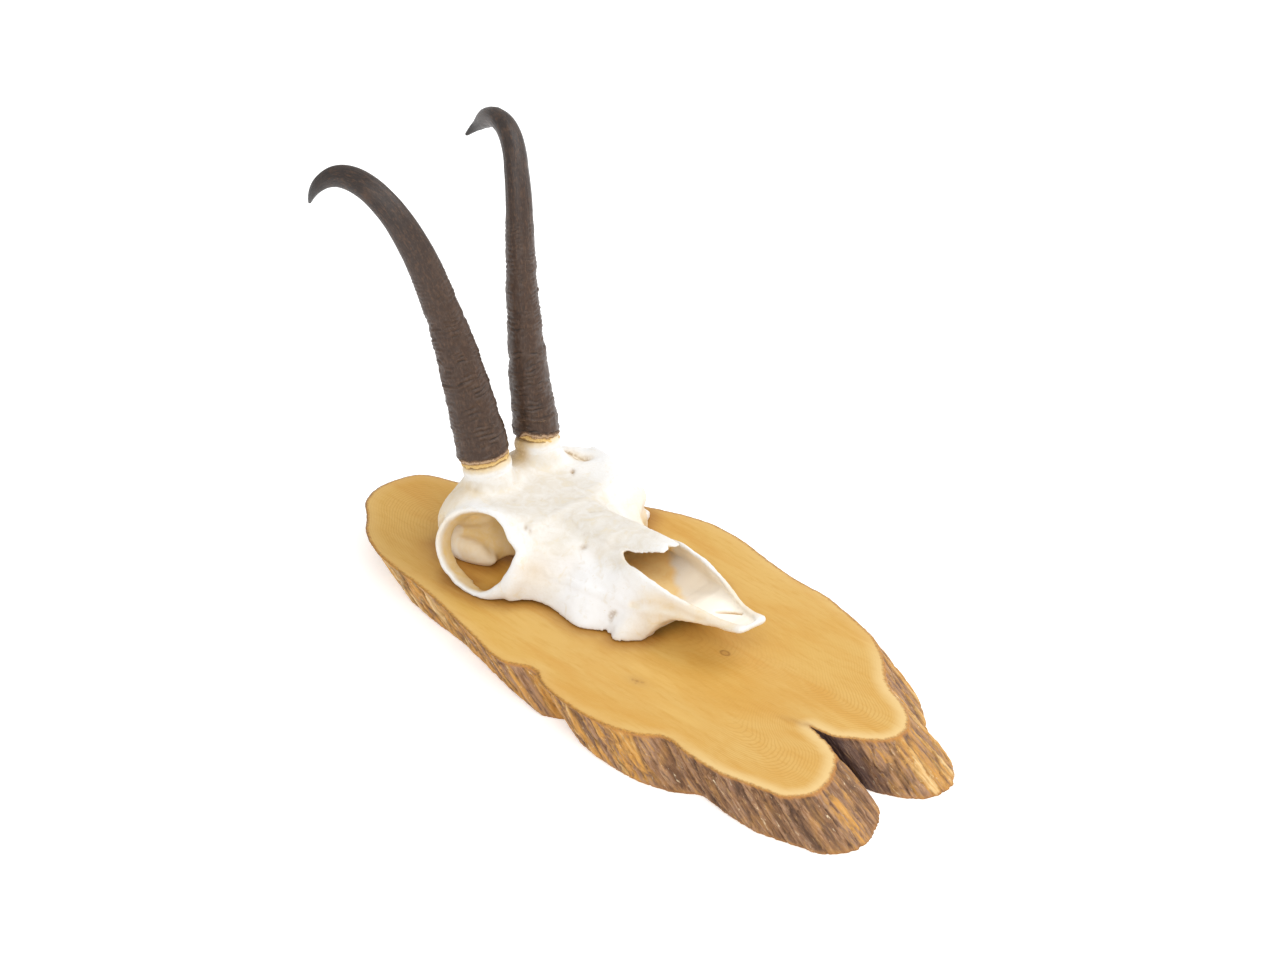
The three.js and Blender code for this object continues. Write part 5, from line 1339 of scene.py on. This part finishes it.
    # cream-yellow pedicle tops; the inner side of the left one is browner, brown stain together with painted shade on
    # the side turned from the light; painted shade in the hollow below the socket
    near_horn = np.zeros(len(P))
    for side in (1, -1):
        rel_h = P * [1, side, 1] - HORN_BASE
        axis_h = rel_h @ ha
        out_h = rel_h - axis_h[:, None] * ha
        rad = np.linalg.norm(out_h, axis=1)
        near_horn = np.maximum(near_horn, 0.8 * smooth(-2.2, SHEATH_LOW - 0.3, axis_h) * smooth(15, 13, rad))
        if side == -1:
            face = (out_h[:, 0] * -0.82 + out_h[:, 1] * side * -0.57) / np.maximum(rad, 1e-6)
            brown = smooth(-0.1, 0.6, face) * smooth(-11, -4, axis_h) * smooth(19, 13, rad)
            near_horn = np.maximum(near_horn, brown)
            brown = np.clip(0.62 * brown + 0.30 * brown * smooth(0.72, 0.95, face), 0, 1)
    hollow_tint = np.exp(-(((P[:, 0] - 53) / 8) ** 2 + ((np.abs(P[:, 1]) - 35) / 6) ** 2 + ((P[:, 2] + 23) / 8) ** 2))
    snout_tint = smooth(94, 112, P[:, 0]) * smooth(153, 143, P[:, 0]) * smooth(-15, -19.5, P[:, 2])
    # painted shade on the back of the right brow, which faces away from the light
    bar = smooth(13, 0, P[:, 0]) * smooth(19, 27, -P[:, 1]) * smooth(-3.5, -8, P[:, 2]) * (1 - inner)
    stain_and_shade = np.maximum(stain_and_shade, 0.48 * bar)
    # painted shade and a painted reflection of the wood on the far cheek below the rim
    far_rim = smooth(16, 21, P[:, 1]) * smooth(40, 46, P[:, 0]) * smooth(67, 60, P[:, 0]) * smooth(-11, -16, P[:, 2])
    stain_and_shade = np.maximum(stain_and_shade, (0.30 + 0.38 * smooth(-17, -27, P[:, 2])) * far_rim)
    stain_and_shade = np.maximum(stain_and_shade, 0.5 * np.exp(-(furrow / 2.6) ** 2) * dirt_x)
    patch = smooth(130, 134, P[:, 0]) * smooth(148, 144, P[:, 0]) * smooth(6.5, 4.5, np.abs(P[:, 1] - 0.5)) * inner
    stain_and_shade = np.maximum(stain_and_shade, 0.75 * patch)
    folded = P * [1, 1, 1]
    folded[:, 1] = -np.abs(folded[:, 1])
    along_groove = np.exp(-(np.maximum(rounded_path(SNOUT_GROOVE, folded.T), 0) / 1.3) ** 2) * (0.6 + 0.8 * perlin(P / 6.0, 162))
    stain_and_shade = np.maximum(stain_and_shade, np.clip(0.60 * along_groove, 0, 1))
    stain_and_shade = np.maximum(stain_and_shade, np.maximum(near_horn, np.maximum(0.34 * hollow_tint, 0.50 * snout_tint)))
    add_values(obj, "inner", inner_tint)
    add_values(obj, "cavity_shade", cavity_shade * (1 - 0.5 * inner))
    hole = np.clip(np.exp(-(np.maximum(rounded_path(FORAMEN[:4], folded.T), 0) / 0.45) ** 2), 0, 1)
    add_values(obj, "line", np.clip(np.maximum(np.maximum(0.6 * groove_mask, 0.72 * pits), np.maximum(np.maximum(0.95 * dirt, brown), 0.55 * hole)), 0, 1))
    # the forehead and the bridge of the nose are creamier than the cheeks
    cream = roof * smooth(-12, 2, P[:, 0]) * smooth(101, 88, P[:, 0]) * smooth(30, 19, np.abs(P[:, 1] + 7))
    # painted shade: cream tint on the back of the right brow, which faces away from the light
    back_bar = smooth(6, -6, P[:, 0]) * smooth(14, 26, -P[:, 1]) * smooth(-4, -10, P[:, 2])
    add_values(obj, "cream", np.clip(np.maximum(cream, back_bar), 0, 1))
    add_values(obj, "hollow", np.clip(inner * smooth(84, 100, P[:, 0]), 0, 1))
    # painted highlight on the middle of the right cheek
    add_values(obj, "cheek_highlight", smooth(56, 68, P[:, 0]) * smooth(104, 92, P[:, 0]) * smooth(-13, -20, P[:, 1]) * (1 - inner))
    add_values(obj, "stain_and_shade", stain_and_shade)
    return obj


# ------------------------------------------------------------------- the scene

scene = bpy.context.scene
scene.view_settings.view_transform = "Standard"
scene.view_settings.look = "None"

BONE, HORN, WOOD, BARK, SAWN = bone_material(), horn_material(), wood_material(), bark_material(), sawn_material()

skull = make_skull()
slab = make_slab(skull)
right = make_sheath("sheath_right", False, 1)
left = make_sheath("sheath_left", True, 40)

for piece, node, slot in ((slab, "wood_slab", "wood"), (skull, "skull", "bone"), (right, "horn_sheath_right", "horn"), (left, "horn_sheath_left", "horn")):
    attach(piece, "root")
    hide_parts(node)


def floor_material():
    m = Nodes("studio_floor")
    paper = m.noise(m.mm, 0.02, 2, 0.5)
    white = m.mix(paper, (0.915, 0.915, 0.915), (0.925, 0.925, 0.925))
    return m.finish(white, 0.9, None, Specular_IOR_Level=0.1, Emission_Color=(1.0, 1.0, 1.0, 1.0), Emission_Strength=0.38)  # a lit white table


bpy.ops.mesh.primitive_plane_add(size=12.0, location=(0, 0, -0.0003))
floor = bpy.context.active_object
floor.name = "studio_floor"
floor.data.materials.append(floor_material())

# camera
el, phi = math.radians(31.353), math.radians(43.463)
right_axis = Vector((math.sin(phi), math.cos(phi), 0))
back_axis = Vector((math.cos(phi) * math.cos(el), -math.sin(phi) * math.cos(el), math.sin(el)))
up_axis = back_axis.cross(right_axis)
place = Vector((1.43697, -1.36537, 1.29192))
camera_data = bpy.data.cameras.new("camera")
camera_data.sensor_fit = "HORIZONTAL"
camera_data.sensor_width = 36.0
camera_data.lens = 154.6875
camera_data.clip_start, camera_data.clip_end = 0.05, 50
camera = bpy.data.objects.new("camera", camera_data)
camera.matrix_world = Matrix((
    (right_axis.x, up_axis.x, back_axis.x, place.x),
    (right_axis.y, up_axis.y, back_axis.y, place.y),
    (right_axis.z, up_axis.z, back_axis.z, place.z),
    (0, 0, 0, 1),
))
scene.collection.objects.link(camera)
scene.camera = camera

# soft studio light
world = bpy.data.worlds.new("studio")
scene.world = world
world.use_nodes = True
world.node_tree.nodes["Background"].inputs["Color"].default_value = (1, 1, 1, 1)
world.node_tree.nodes["Background"].inputs["Strength"].default_value = 0.70


def softbox(name, offset, size, power):
    data = bpy.data.lights.new(name, "AREA")
    data.shape = "SQUARE"
    data.size = size
    data.energy = power
    lamp = bpy.data.objects.new(name, data)
    target = Vector((0.0, 0.0, 0.05))
    lamp.location = target + offset
    lamp.rotation_euler = (target - lamp.location).to_track_quat("-Z", "Y").to_euler()
    scene.collection.objects.link(lamp)


flat_back = Vector((back_axis.x, back_axis.y, 0)).normalized()
softbox("key", right_axis * 0.95 - flat_back * 0.30 + Vector((0, 0, 1.2)), 1.1, 12.0)
softbox("fill", flat_back * 1.2 + right_axis * 0.10 + Vector((0, 0, 1.15)), 1.3, 13.0)

bpy.context.view_layer.update()
